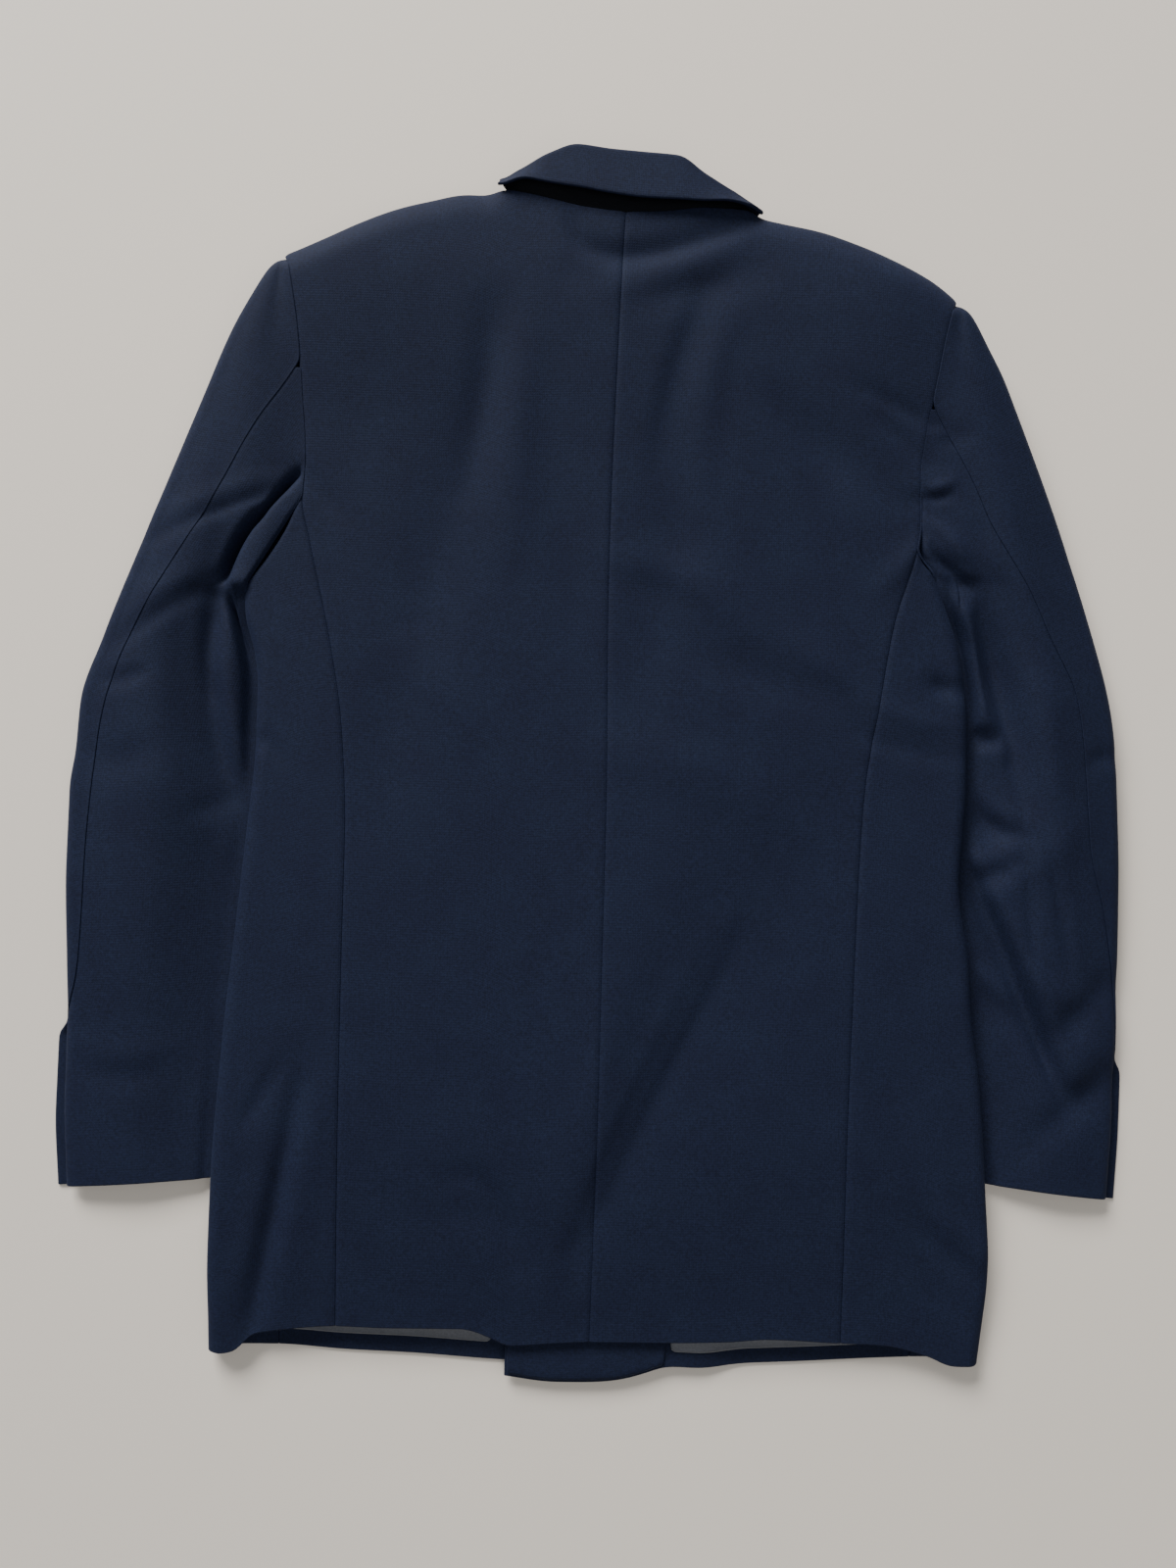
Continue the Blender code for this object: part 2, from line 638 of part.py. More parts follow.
def upper_sleeve(name, material, side):
    """From the hind-arm seam round the outer fold and along the underside."""
    out_table, in_table, hind, front_hole, _ = sleeve_tables(side)
    vent = VENT_TOP_LEFT if side < 0 else VENT_TOP_RIGHT
    underarm = in_table[-1][0]
    low = SLEEVE_CLOTH / 2
    grid = []
    for y in sleeve_rows(side):
        outer = along(out_table, y)
        seam = along(hind, y) if y < hind[-1][0] else armhole_on_top(side, y) + side * ARMHOLE_GAP
        edge = outer - side * SLEEVE_ROUND
        end = fore_seam(side, y) + side * SEAM_GAP
        if y > underarm:
            open_end = along(front_hole, y) + side * 2 * ARMHOLE_GAP
            end = open_end + (end - open_end) * smooth_step(underarm + 30, underarm, y)
        first = math.pi / 2 if side * (edge - seam) > 0 else fold_angle(side, y, seam)
        pieces = []
        if first == math.pi / 2:
            pieces.append((1, [(x, y, sleeve_level(side, x, y)) for x in run(seam, edge)]))
        if first < math.pi / 2:
            first -= SEAM_TURN
        turns = [first + (-math.pi / 2 - first) * k / 24 for k in range(25)]
        pieces.append((FOLD_WEIGHT, [outer_point(side, y, turn) for turn in turns]))
        pieces.append((1, [(x, y, low) for x in run(edge, end)]))
        row = spread(pieces, UPPER_COLUMNS)
        if y < vent:
            start = outer + side * VENT_UNDERLAP
            steps = [0] + [np.linalg.norm(b - a) for a, b in zip(row, row[1:])]
            places = np.cumsum(steps) / sum(steps)
            row = [np.array((start + (end - start) * place, y, low)) for place in places]
        grid.append(row if side < 0 else row[::-1])
    return wall_from_grid(name, grid, SLEEVE_CLOTH, material)


def under_sleeve(name, material, side):
    """From the hind-arm seam to the armhole, or round the inner fold below the underarm."""
    in_table, hind = sleeve_tables(side)[1:3]
    underarm = in_table[-1][0]
    low = SLEEVE_CLOTH / 2
    grid = []
    for y in sleeve_rows(side):
        if y > hind[-1][0] - 8:
            break
        seam = along(hind, y)
        inner = along(in_table, y) if y < underarm else armhole_on_top(side, y) + side * ARMHOLE_GAP
        turn = inner + side * SLEEVE_BEND
        edge = along(sleeve_tables(side)[0], y) - side * SLEEVE_ROUND
        edge = min(seam, edge) if side > 0 else max(seam, edge)
        if y > underarm:
            pieces = [(1, [upper_wall(side, x, y) for x in run(edge, turn)]),
                      (FOLD_WEIGHT, [upper_wall(side, x, y) for x in run(turn, inner)])]
        else:
            top = sleeve_level(side, turn, y)
            bend = []
            closing = math.pi * smooth_step(underarm + 1, underarm - 60, y)
            for k in range(13):
                angle = math.pi / 2 - closing * k / 12
                bend.append((inner + side * SLEEVE_BEND * (1 - math.cos(angle)), y,
                             (top + low) / 2 + (top - low) / 2 * math.sin(angle)))
            end = fore_seam(side, y) - side * SEAM_GAP
            pieces = [(1, [upper_wall(side, x, y) for x in run(edge, turn)]), (BEND_WEIGHT, bend)]
            if closing > math.pi - 0.01:
                end = turn + (end - turn) * smooth_step(underarm - 50, underarm - 130, y)
                pieces.append((2, [(x, y, low) for x in run(turn, end)]))
        if side * (seam - edge) > 0:
            pieces.insert(0, (FOLD_WEIGHT, [upper_wall(side, x, y) for x in run(seam, edge)]))
        row = spread(pieces, UNDER_COLUMNS)
        grid.append(row[::-1] if side > 0 else row)
    return wall_from_grid(name, [row[::-1] for row in grid], SLEEVE_CLOTH, material)


def collar(name, material):
    """Stand, roll and fall, as one bent wall round the back neck."""
    rows = [np.array(row, float) for row in COLLAR]
    tips = [row[:3] for row in rows]
    grid = []
    for k, row in enumerate(rows):
        tip, fall, stand = row[:3], row[3:6], row[6:9]
        way = tips[min(k + 1, len(tips) - 1)] - tips[max(k - 1, 0)]
        inward = fall / np.linalg.norm(fall) + stand / np.linalg.norm(stand)
        inward /= np.linalg.norm(inward)
        out = np.cross(inward, way)
        out /= -np.linalg.norm(out)
        if np.dot(out, fall / np.linalg.norm(fall) - stand / np.linalg.norm(stand)) < 0:
            out = -out
        centre = tip + inward * COLLAR_ROLL
        first = centre + out * COLLAR_ROLL
        last = centre - out * COLLAR_ROLL
        line = [tip + fall + (first - tip - fall) * s / 3 for s in range(3)]
        for s in range(5):
            angle = math.pi * s / 4
            line.append(centre + out * COLLAR_ROLL * math.cos(angle) - inward * COLLAR_ROLL * math.sin(angle))
        line += [last + (tip + stand - last) * s / 3 for s in range(1, 4)]
        grid.append(line)
    return wall_from_grid(name, [list(row) for row in zip(*grid)], CLOTH, material)


def lapel(name, material, corners):
    """Flat lapel on the surface, under its front."""
    foot, top, peak, notch = (np.array(c, float) for c in corners)
    outward = -1 if foot[0] > top[0] else 1
    grid = []
    for v in even(LAPEL_ROWS):
        roll = foot + (top - foot) * v
        if v == 0:
            out = foot + np.array(LAPEL_FOOT) * (outward, 1)
        elif v > LAPEL_NOTCH:
            out = notch
        else:
            out = foot + (peak - foot) * v ** 0.9
        line = [roll + (out - roll) * u for u in even(3)][::outward]
        grid.append([(p[0], p[1], LAPEL_LEVEL) for p in line])
    return wall_from_grid(name, grid, CLOTH, material)


def button(name, material, x, y):
    bpy.ops.mesh.primitive_cylinder_add(vertices=20, radius=BUTTON_WIDTH / 2 * MM,
                                        depth=BUTTON_THICK * MM)
    thing = bpy.context.object
    thing.name = name
    thing.location = ((x - BOX_X) * MM, (y - BOX_Y) * MM, BUTTON_THICK / 2 * MM)
    thing.data.materials.append(material)
    thing.data.shade_smooth()
    thing.data.set_sharp_from_angle(angle=math.radians(40))
    return thing


def main():
    for thing in list(bpy.data.objects):
        bpy.data.objects.remove(thing)
    wool = make_material("navy_wool", (0.013, 0.018, 0.040), 0.85)
    lining = make_material("grey_lining", (0.10, 0.10, 0.11), 0.5)
    horn = make_material("dark_button", (0.02, 0.02, 0.025), 0.4)
    centre = [(y, x) for y, x in CENTRE_BACK]
    back_half("back_left", wool, BACK_EDGE_LEFT, centre, TOP_LEFT)
    back_half("back_right", wool, centre, BACK_EDGE_RIGHT, TOP_RIGHT)
    side_panel("side_panel_left", wool, -1)
    side_panel("side_panel_right", wool, 1)
    front("front_left", wool, -1)
    front("front_right", wool, 1)
    inside_layer("lining_left", lining, -1, 0, LINING_COLUMN_LEFT, 1, LINING_RISE, LINING_CLOTH)
    inside_layer("facing_right", wool, 1, FACING_COLUMN, len(FRONT_COLUMNS) - 1, 0, FACING_RISE,
                 FACING_CLOTH)
    inside_layer("lining_right", lining, 1, 0, FACING_COLUMN, 1, LINING_RISE, LINING_CLOTH)
    for side, word in ((-1, "left"), (1, "right")):
        upper_sleeve("upper_sleeve_" + word, wool, side)
        under_sleeve("under_sleeve_" + word, wool, side)
    collar("collar", wool)
    lapel("lapel_left", wool, LAPEL_LEFT)
    lapel("lapel_right", wool, LAPEL_RIGHT)
    for number, (x, y) in enumerate(BUTTONS, 1):
        button("button_" + str(number), horn, x, y)


main()
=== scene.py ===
# A double-breasted blazer in navy worsted wool, laid flat on its front and seen from the back.
# X runs to the wearer's right, Y from hem to collar, Z up from the floor.
# The tables are in millimetres from the foot of the centre-back seam, as in the part's source. Where a
# table has one row of points for each side, -1 is the wearer's left and 1 the right.
import math

import bmesh
import bpy
import numpy as np
from mathutils import Matrix, Vector


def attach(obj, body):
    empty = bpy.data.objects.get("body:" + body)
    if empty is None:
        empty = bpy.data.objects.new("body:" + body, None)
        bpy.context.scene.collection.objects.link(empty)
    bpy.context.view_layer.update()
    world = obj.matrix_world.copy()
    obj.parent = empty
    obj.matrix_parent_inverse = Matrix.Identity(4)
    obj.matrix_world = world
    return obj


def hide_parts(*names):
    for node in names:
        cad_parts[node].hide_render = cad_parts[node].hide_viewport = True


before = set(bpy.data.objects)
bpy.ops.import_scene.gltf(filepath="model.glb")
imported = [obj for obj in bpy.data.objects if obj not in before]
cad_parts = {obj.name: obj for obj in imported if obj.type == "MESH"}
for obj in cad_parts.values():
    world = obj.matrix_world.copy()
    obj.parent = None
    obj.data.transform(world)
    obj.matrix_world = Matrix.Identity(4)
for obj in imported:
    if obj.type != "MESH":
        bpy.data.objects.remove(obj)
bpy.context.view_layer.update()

MM = 0.001

# Middle of the blazer's box, measured from the foot of the centre-back seam
BOX_X = 1.97
BOX_Y = 392.61

# Cloth walls and the gaps at the seams
CLOTH = 2.0
SLEEVE_CLOTH = 1.8
LINING_CLOTH = 1.0
FACING_CLOTH = 1.2
SEAM_GAP = 0.45
UNDER_SEAM_GAP = 0.1
UNDERARM_EASE = 1.2
UNDERARM_HEIGHT = (450, 500)
FLOOR_LEVEL = CLOTH / 2
# How far the fronts stand off over the buttons and lapels, and over the tucked sleeves
BUTTON_LIFT = 4.0
SLEEVE_LIFT = 6.2
# Where the buttons and lapels begin and fully reach that lift, from the sides, the hem and the shoulders
LIFT_SIDE = (190, 158)
LIFT_FOOT = (90, 160)
LIFT_TOP = (775, 740)
# The same for the tucked sleeves, from past their inner fold, the armpit and the hem
TUCK_SIDE = (54, 22)
TUCK_TOP = {-1: (556, 512), 1: (590, 545)}
TUCK_FOOT = (2, 46)
# How far the right front lies above the left one, and linings and facing above their front; the right
# front climbs over the left one's edge between these distances past it
OVERLAP_SIDE = (46, 8)
OVERLAP_RISE = 3.9
LINING_RISE = 1.9
FACING_RISE = 2.0
# How deep and how wide stitching draws the cloth in
SEAM_SINK = 0.8
SEAM_REACH = 1.7
# The stitching puckers: by which part of the depth, and the two wave lengths, over 2 pi
PUCKER = 0.3
PUCKER_WAVES = (2.9, 11.3)
HIND_SINK = 0.2
# How far each half of the back reaches over the centre-back seam, so that no light shows through
SEAM_LAP = 0.15
# Length over which the sleeve rounds over at the shoulder tip
HEAD_ROUND = 11
# A sleeve's upper wall never sinks below this level, clear of the wall under it
SLEEVE_LOWEST = 2.8
# How much closer the under sleeve's rows lie towards the armpit, where its folds are sharp
ROWS_TO_ARMPIT = 0.16
# How much each cuff slants outwards, and how far it is drawn up
CUFF = {-1: (0.07, 5.3), 1: (0.105, 6.0)}
# The cuff's inner edge, and how far out from it the slant turns; it fades out between these heights
CUFF_INNER, CUFF_TURN = 210, 60
CUFF_FADE = (260, 100)
# The shoulder pads lift the back: by how much, the middle of the left and right one, and their half size
PAD_RISE = 4.5
PAD_X, PAD_Y = 190, 715
PAD_WIDTH, PAD_LENGTH = 60, 70
# Yarn spacing of the drawn weave, in metres
YARN = 0.0016

# Rows and columns of each cut of cloth: how many lie between the close ones at the two ends, and the
# length that all of them lie along
BACK_ROWS, BACK_COLUMNS = (130, 760), (34, 190)
SIDE_ROWS = (96, 560)
FRONT_ROWS, FRONT_COLUMNS = (76, 760), (32, 300)
UPPER_ROWS, UPPER_COLUMNS = (102, 630), (50, 280)
UNDER_ROWS, UNDER_COLUMNS = 100, (56, 190)
COLLAR_ROWS = 76
INSIDE_ROWS, INSIDE_COLUMNS = 52, 26
# The felt covers the collar's underside from this column on; its near-black colour is painted shade for the
# gap under the collar's fall
PAINTED_SHADE_FELT_START = 18

# Centre-back seam: height above the hem, x
CENTRE_BACK = ((0, 0), (140, 1), (340, 1), (540, -2), (700, 0), (772, 2))

# Side-back seam and armhole, as one edge from hem to shoulder tip: height, x
BACK_EDGE = {
    -1: (
    (11, -171), (120, -173), (240, -175), (340, -176), (412, -181), (465, -190), (538, -207),
    (567, -213), (593, -212), (635, -215), (672, -218), (700, -222), (724, -227), (733, -231)),
    1: (
    (4, 172), (120, 172), (225, 174), (328, 177), (380, 180), (433, 188), (495, 198),
    (541, 211), (566, 215), (598, 214), (621, 216), (667, 223), (711, 231), (723, 237))}
# Height of the armhole's foot on that edge
ARMHOLE_FOOT = {-1: 567, 1: 545}

# Side folds of the body: height above the hem, x
FOLD = {
    -1: (
    (-10, -254.7), (10, -255.5), (58, -256.8), (104, -256.5), (205, -252), (271, -247), (337, -242),
    (397, -238), (437, -238), (460, -241), (484, -248), (504, -250)),
    1: (
    (-12, 267.5), (15, 270.5), (50, 272.5), (110, 269), (175, 264), (226, 257), (258, 255), (317, 247),
    (350, 249), (383, 251), (435, 250), (481, 243), (510, 233), (528, 227))}

# Shoulder line and back neck edge, from tip to centre: x, height
TOP = {
    -1: (
    (-231, 733), (-222, 737), (-199, 748.5), (-179, 759), (-153, 770.3), (-133, 776.3), (-106, 782.5),
    (-84, 782.5), (-68, 781), (-51, 778), (-24, 773), (2, 771)),
    1: (
    (2, 771), (30, 773), (57, 777), (82, 777), (96, 776), (114, 773), (138, 769), (163, 761.5),
    (191, 750.5), (219, 736.5), (237, 723))}
# The neck edge lies between these; outside them the shoulder rounds down
NECK_LEFT = -84
NECK_RIGHT = 92
# Where the fronts end at the neck
FRONT_NECK = {-1: NECK_LEFT + 6, 1: NECK_RIGHT - 8}

# Lower edge of the back, and of the fronts below it: x, height
BACK_HEM = (
    (-257, -10), (-246, -11), (-235, -8), (-228, 1), (-201, 6), (-171, 8), (-135, 7), (-87, 7),
    (-64, 0), (-55, -4), (-23, -2), (0, -1), (50, -1), (94, 0), (122, 2), (172, 0), (200, -1),
    (233, -8), (252, -15), (266, -15), (273, -8))
FRONT_HEM = {
    -1: ((-257, -9), (-232, -8), (-210, -8), (-166, -11), (-119, -13), (-57, -17), (62, -20)),
    1: (
    (-57, -26), (-22, -30), (-3, -30), (16, -29), (35, -25), (55, -19), (78, -20), (104, -18),
    (147, -16), (203, -13), (235, -12), (273, -12))}

# Edges of the fronts on the underside: height, x
FRONT_EDGE = {
    -1: ((-20, 62), (330, 62), (360, 55), (780, -74)),
    1: ((-26, -57), (330, -57), (360, -50), (780, 82))}
FRONT_ARMHOLE = {
    -1: ((512, -206), (545, -197), (600, -197), (660, -207), (700, -218), (733, -231)),
    1: ((545, 179), (575, 183), (620, 190), (665, 206), (700, 223), (723, 237))}
FRONT_SEAM_IN = 45
# Length below the armhole over which that seam runs out to it
FRONT_SEAM_RUN = 110

# Height of the back cloth's middle over the surface: height above the hem, level
BACK_LEVEL = (
    (-30, 10), (0, 10.5), (60, 14), (150, 17), (350, 17), (500, 18), (600, 21), (680, 26),
    (740, 29), (800, 29))
SHOULDER_SEAM_LEVEL = 15
SHOULDER_SPLIT = 0.45
SHOULDER_ROUND = 22
FOLD_ROUND = 8
# Parts of the side panel's section: its top ends, its fold has the middle, and its turn ends
TOP_PART, MIDDLE_PART, TURN_PART = 0.5, 0.65, 0.8

# Largest folds of the back: three points of the crest or trough, half width, rise
BACK_FOLDS = (
    (-78, 690, -128, 520, -158, 350, 26, -2.6),
    (-52, 660, -38, 560, -8, 440, 22, -1.8),
    (70, 690, 36, 520, 18, 430, 22, -2.0),
    (160, 380, 90, 250, 10, 90, 42, -2.6),
    (60, 420, 20, 260, -40, 70, 40, 1.6),
    (0, 400, 80, 395, 130, 350, 20, 1.8),
    (232, 560, 150, 610, 120, 650, 14, -1.4),
    (-200, 190, -210, 110, -224, 20, 12, -2.2),
    (200, 80, 225, 50, 250, 20, 12, -1.6),
    (-30, 726, 20, 712, 90, 732, 14, -3.2),
)

# Outer and inner folds of the sleeves: height above the hem, x
SLEEVE_OUT = {
    -1: (
    (97, -354), (150, -358), (204, -358), (249, -360), (313, -363), (364, -363), (390, -360),
    (424, -358), (466, -345), (533, -321), (599, -296), (643, -279.3), (680, -264.3),
    (708, -249.5), (722, -241.5), (731, -234.5)),
    1: (
    (102, 358), (150, 361), (193, 362), (272, 363), (320, 363), (375, 361), (410, 359), (430, 356.6),
    (455, 351.5), (482, 343.7), (519, 331.8), (541, 324), (566, 315), (595, 303.6), (621, 292.8),
    (651, 280), (670, 271.5), (690, 260), (706, 251), (714, 246), (721, 240.5))}
SLEEVE_IN = {
    -1: (
    (97, -208), (180, -198), (260, -188), (337, -182), (385, -192), (410, -203), (435, -216),
    (460, -230), (480, -238), (504, -245)),
    1: (
    (107, 212), (180, 203), (260, 192), (337, 184), (390, 196), (415, 206), (440, 220), (460, 230),
    (485, 232), (510, 227), (528, 223))}

# Hind-arm seams, from cuff vent to armhole: height, x
HIND = {
    -1: (
    (97, -354), (204, -360), (220, -356), (240, -352), (278, -350), (324, -349), (359, -347), (403, -343),
    (433, -337), (476, -321), (513, -301), (548, -280), (586, -260), (621, -241), (640, -228), (654, -219)),
    1: (
    (102, 358), (193, 362), (240, 360), (273, 355), (296, 351), (344, 339), (404, 334), (446, 327),
    (490, 305), (519, 291), (565, 263), (594, 250), (628, 231), (645, 221))}
VENT_TOP = {-1: 204, 1: 193}
VENT_UNDERLAP = 8

# Height of the sleeve's upper wall: height above the hem, near the outer fold, crown, inner edge
SLEEVE_LEVELS = (
    (90, 7.5, 10, 7), (200, 9, 13, 5.5), (300, 11, 17, 5), (400, 12, 19, 5), (450, 13, 21, 6),
    (504, 14, 22, 14), (550, 16, 24, 18), (600, 19, 26, 21), (650, 22, 28, 25), (700, 24, 30, 27),
    (735, 24, 28, 26))
TUCKED_LEVEL = 4.3
SLEEVE_BEND = 2.2
SEAM_TURN = 0.02
ARMHOLE_GAP = -0.8
SLEEVE_ROUND = 9
# Part of the way across the sleeve, from its outer fold, where the crown of its upper wall begins
CROWN_PART = 0.45
# The seam on the sleeve's underside: how far in from the inner fold, and how much further below the armpit
FORE_SEAM_IN = 5
FORE_SEAM_MORE = 11

# Largest creases of the sleeves: three points, half width, rise
SLEEVE_FOLDS = (
    (-270, 640, -262, 560, -268, 500, 12, -2.4),
    (-310, 480, -285, 440, -262, 420, 14, -2.2),
    (-300, 395, -320, 380, -345, 385, 12, -1.6),
    (268, 600, 300, 480, 320, 330, 14, 2.4),
    (256, 560, 270, 480, 275, 400, 10, -2.2),
    (262, 290, 300, 215, 330, 165, 12, -3.0),
    (262, 300, 300, 330, 335, 360, 12, 2.0),
    (290, 250, 330, 240, 352, 230, 10, 1.6),
)

# Collar: roll point, then the way from it to the fall's edge and to the stand's edge
COLLAR = (
    (-93, 791.5, 18, 0, -4, 6, 3, -3, -3),
    (-82, 791.5, 24.5, -2, -7, 8, 4, -4.5, -3),
    (-70, 796, 29, -1, -9, 7, 4, -14.4, -3),
    (-51, 807, 32, 0, -22, 4, 2, -28.4, -4),
    (-32, 814, 32, 0, -31, 4, 3, -39.2, -4),
    (-10, 812, 32, 0, -32, 4, 2, -39.7, -4),
    (12, 811, 32, 0, -33, 4, 1, -38.8, -4),
    (36, 810, 32, 0, -32, 4, 0, -35.5, -4),
    (55, 799, 31, 0, -21, 5, -1, -21.6, -3),
    (74, 789, 29, 0, -10, 7, -4, -10.8, -3),
    (87, 784, 24.5, 2, -6, 8, -4, -4, -3),
    (98, 781.5, 18, 0, -4, 6, -3, -3, -3),
)
COLLAR_ROLL = 2.4

# Front buttons on the underside: x, height above the hem
BUTTONS = ((-42, 205), (42, 205), (-42, 315), (42, 315), (-66, 430), (68, 430))
BUTTON_WIDTH = 20
# Turning of a button from its foot: how far each step is set in and how far it rises
BUTTON_STEPS = ((0, 2.6), (0.7, 0.8), (1.4, 0.15), (0.8, -0.55))

# Lapels on the underside, just under the fronts: roll edge foot, roll edge top, peak, neck corner: x, height
LAPEL_LEFT = ((44, 372), (-60, 716), (-152, 632), (-128, 700))
LAPEL_RIGHT = ((8, 545), (62, 700), (150, 640), (128, 700))
LAPEL_LEVEL = FLOOR_LEVEL + BUTTON_LIFT - CLOTH - 0.35

# A crease is followed in this many steps, out to this many half widths
CREASE_STEPS = 16
CREASE_REACH = 3.2
# Finer creases of the back: three points, half width, rise, and for some how much one flank is wider
BACK_CREASES = (
    (-35, 760, -21, 715, 94, 771, 7, -4.2, 0.3),
    (-19, 730, -5, 705, 77, 749, 9, 1.8),
    (-89, 700, -88, 652, -102, 576, 11, -2.6),
    (61, 721, 36, 671, 30, 596, 10, -2.4, 0.3),
    (103, 654, 147, 607, 156, 587, 12, -2.2),
    (165, 659, 200, 642, 219, 633, 5, -2.2, 0.4),
    (179, 640, 197, 626, 214, 606, 5, -1.8, 0.3),
    (200, 582, 207, 579, 218, 584, 3.4, -1.2),
    (198, 593, 208, 590, 218, 595, 4, 0.7),
    (218, 555, 208, 542, 189, 520, 7, 2.2),
    (4, 533, 55, 529, 93, 489, 13, 2.3, 0.3),
    (53, 477, 97, 451, 156, 442, 16, -2.2),
    (128, 480, 148, 463, 169, 449, 10, 1.8),
    (169, 422, 198, 403, 241, 402, 6, -1.8, 0.4),
    (183, 441, 210, 424, 242, 425, 6, 1.6),
    (223, 453, 232, 452, 244, 449, 6, -4),
    (9, 238, 12, 168, -30, 86, 16, 2.2),
    (82, 269, 21, 153, -13, 60, 12, -3.2, 0.5),
    (-100, 107, -66, 125, -49, 46, 9, -2.4),
    (-102, 84, -67, 97, -42, 46, 12, -1.6),
    (-201, 170, -214, 89, -228, 2, 6, -4.2),
    (-214, 183, -228, 158, -236, 140, 6, -1.8),
    (-185, 167, -205, 88, -210, 10, 10, 1.8),
    (216, 93, 235, 67, 261, 45, 8, -2.5),
    (236, 91, 254, 74, 270, 55, 7, 1.8),
    (-234, 407, -228, 396, -219, 384, 4, -1.6),
    (-213, 587, -199, 568, -184, 553, 5, -1.6),
    (182, 195, 201, 182, 213, 142, 10, -1.4),
    (-146, 480, -140, 460, -100, 414, 18, 1.6),
    (-22, 717, 5, 711, 59, 735, 12, 1.8),
    (86, 276, 44, 199, -9, 79, 9, 2.8, -0.5),
    (-204, 166, -225, 80, -248, -2, 10, 1.6),
    (-245, 139, -249, 77, -248, 3, 7, 1.2),
    (-62, 701, -67, 646, -71, 537, 13, 1.8),
    (78, 701, 57, 669, 60, 569, 11, 1.8),
)

# Finer creases of the sleeves, in the same order
SLEEVE_CREASES = (
    (-224, 572, -261, 560, -315, 532, 5, -1.5, -0.3),
    (-227, 580, -266, 568, -310, 547, 7, 1),
    (-215, 583, -229, 569, -243, 549, 2.2, -12),
    (-267, 509, -277, 467, -270, 432, 8, -4.5, 0.3),
    (-270, 436, -268, 396, -248, 355, 9, -4),
    (-265, 509, -299, 490, -334, 460, 6, -1.6, -0.3),
    (-268, 519, -306, 501, -332, 477, 8, 1),
    (-221, 563, -241, 538, -250, 503, 9, 2.6),
    (-256, 504, -264, 448, -249, 370, 11, 7.5),
    (-259, 494, -253, 477, -239, 442, 3.2, -16),
    (-251, 402, -247, 407, -238, 418, 4, -1.6),
    (-341, 438, -327, 437, -313, 443, 4, -2.4),
    (-282, 502, -303, 434, -260, 369, 18, -3.1),
    (-312, 421, -304, 361, -265, 330, 18, 2.7),
    (-283, 349, -267, 354, -251, 362, 5, -1.7),
    (-352, 181, -322, 161, -293, 177, 6, -1.4),
    (-352, 194, -314, 177, -284, 190, 7, 1.2),
    (-246, 304, -249, 250, -257, 198, 9, -2),
    (219, 585, 226, 582, 236, 587, 3, -1.3),
    (217, 590, 227, 589, 236, 596, 3.5, 1.7),
    (220, 567, 239, 555, 250, 530, 5, 3.4),
    (222, 548, 234, 534, 250, 523, 4, -4),
    (247, 522, 239, 518, 235, 528, 5, -1.7),
    (245, 502, 250, 459, 274, 408, 12, 11, -0.55),
    (260, 503, 276, 472, 295, 369, 8, -4.5, 0.3),
    (243, 494, 240, 461, 247, 423, 4.4, -8),
    (247, 460, 244, 416, 273, 417, 4, -14),
    (253, 385, 262, 354, 289, 351, 5, -6),
    (262, 392, 271, 360, 293, 361, 7, 2),
    (251, 336, 249, 302, 292, 333, 4, -5),
    (250, 344, 259, 322, 289, 341, 6, 3.1),
    (247, 336, 270, 297, 321, 173, 5.5, -11, 0.5),
    (258, 339, 284, 294, 330, 184, 7.5, 5),
    (254, 263, 271, 250, 287, 231, 3.5, 3.4),
    (257, 250, 276, 235, 309, 196, 7, -3.4),
    (291, 358, 299, 319, 300, 266, 4, -2.5),
    (307, 345, 320, 303, 326, 258, 4, -2),
    (313, 345, 328, 301, 333, 262, 5, 1.4),
    (361, 256, 338, 231, 313, 206, 9, -3.4),
    (363, 190, 344, 176, 298, 131, 9, -3.4),
    (361, 218, 327, 190, 324, 177, 12, 2.4),
    (336, 400, 345, 406, 358, 409, 5, -2),
    (271, 530, 288, 487, 308, 452, 8, -2),
    (302, 452, 315, 375, 325, 347, 12, 1.5),
    (229, 631, 249, 593, 261, 565, 8, -1.5),
    (226, 621, 238, 627, 248, 629, 6, -1.4),
    (-237, 437, -232, 390, -247, 264, 4, -2.5),
    (-248, 264, -253, 207, -257, 113, 4, -1.5),
    (213, 581, 211, 542, 225, 526, 2.2, -6),
    (258, 229, 264, 179, 272, 115, 4, -1.5),
    (251, 392, 247, 358, 247, 337, 4, -2.5),
    (-240, 554, -258, 537, -263, 509, 3.3, -15),
    (-230, 400, -226, 394, -220, 386, 4, -1.6),
    (-239, 443, -239, 413, -240, 370, 2.6, -6),
    (225, 531, 234, 513, 244, 479, 3, -6),
)


def smooth_step(low, high, value):
    """Rise from 0 at low to 1 at high with soft ends."""
    part = np.clip((value - low) / (high - low), 0, 1)
    return part * part * (3 - 2 * part)


def along(table, at, column=1):
    """Smooth values of a table's column at places in its first column."""
    rows = np.array(table, float)
    keys, values = rows[:, 0], rows[:, column]
    at = np.clip(at, keys[0], keys[-1])
    k = np.clip(np.searchsorted(keys, at) - 1, 0, len(keys) - 2)
    span = np.diff(keys)
    rise = np.diff(values) / span
    slope = np.concatenate((rise[:1], rise))
    slope[-1] = rise[-1]
    together = rise[:-1] * rise[1:]
    inner = np.where(together > 0, 2 * together / np.where(together > 0, rise[:-1] + rise[1:], 1), 0)
    slope[1:-1] = inner
    t = (at - keys[k]) / span[k]
    return ((1 + 2 * t) * (1 - t) ** 2 * values[k] + t * (1 - t) ** 2 * span[k] * slope[k]
            + t * t * (3 - 2 * t) * values[k + 1] + t * t * (t - 1) * span[k] * slope[k + 1])


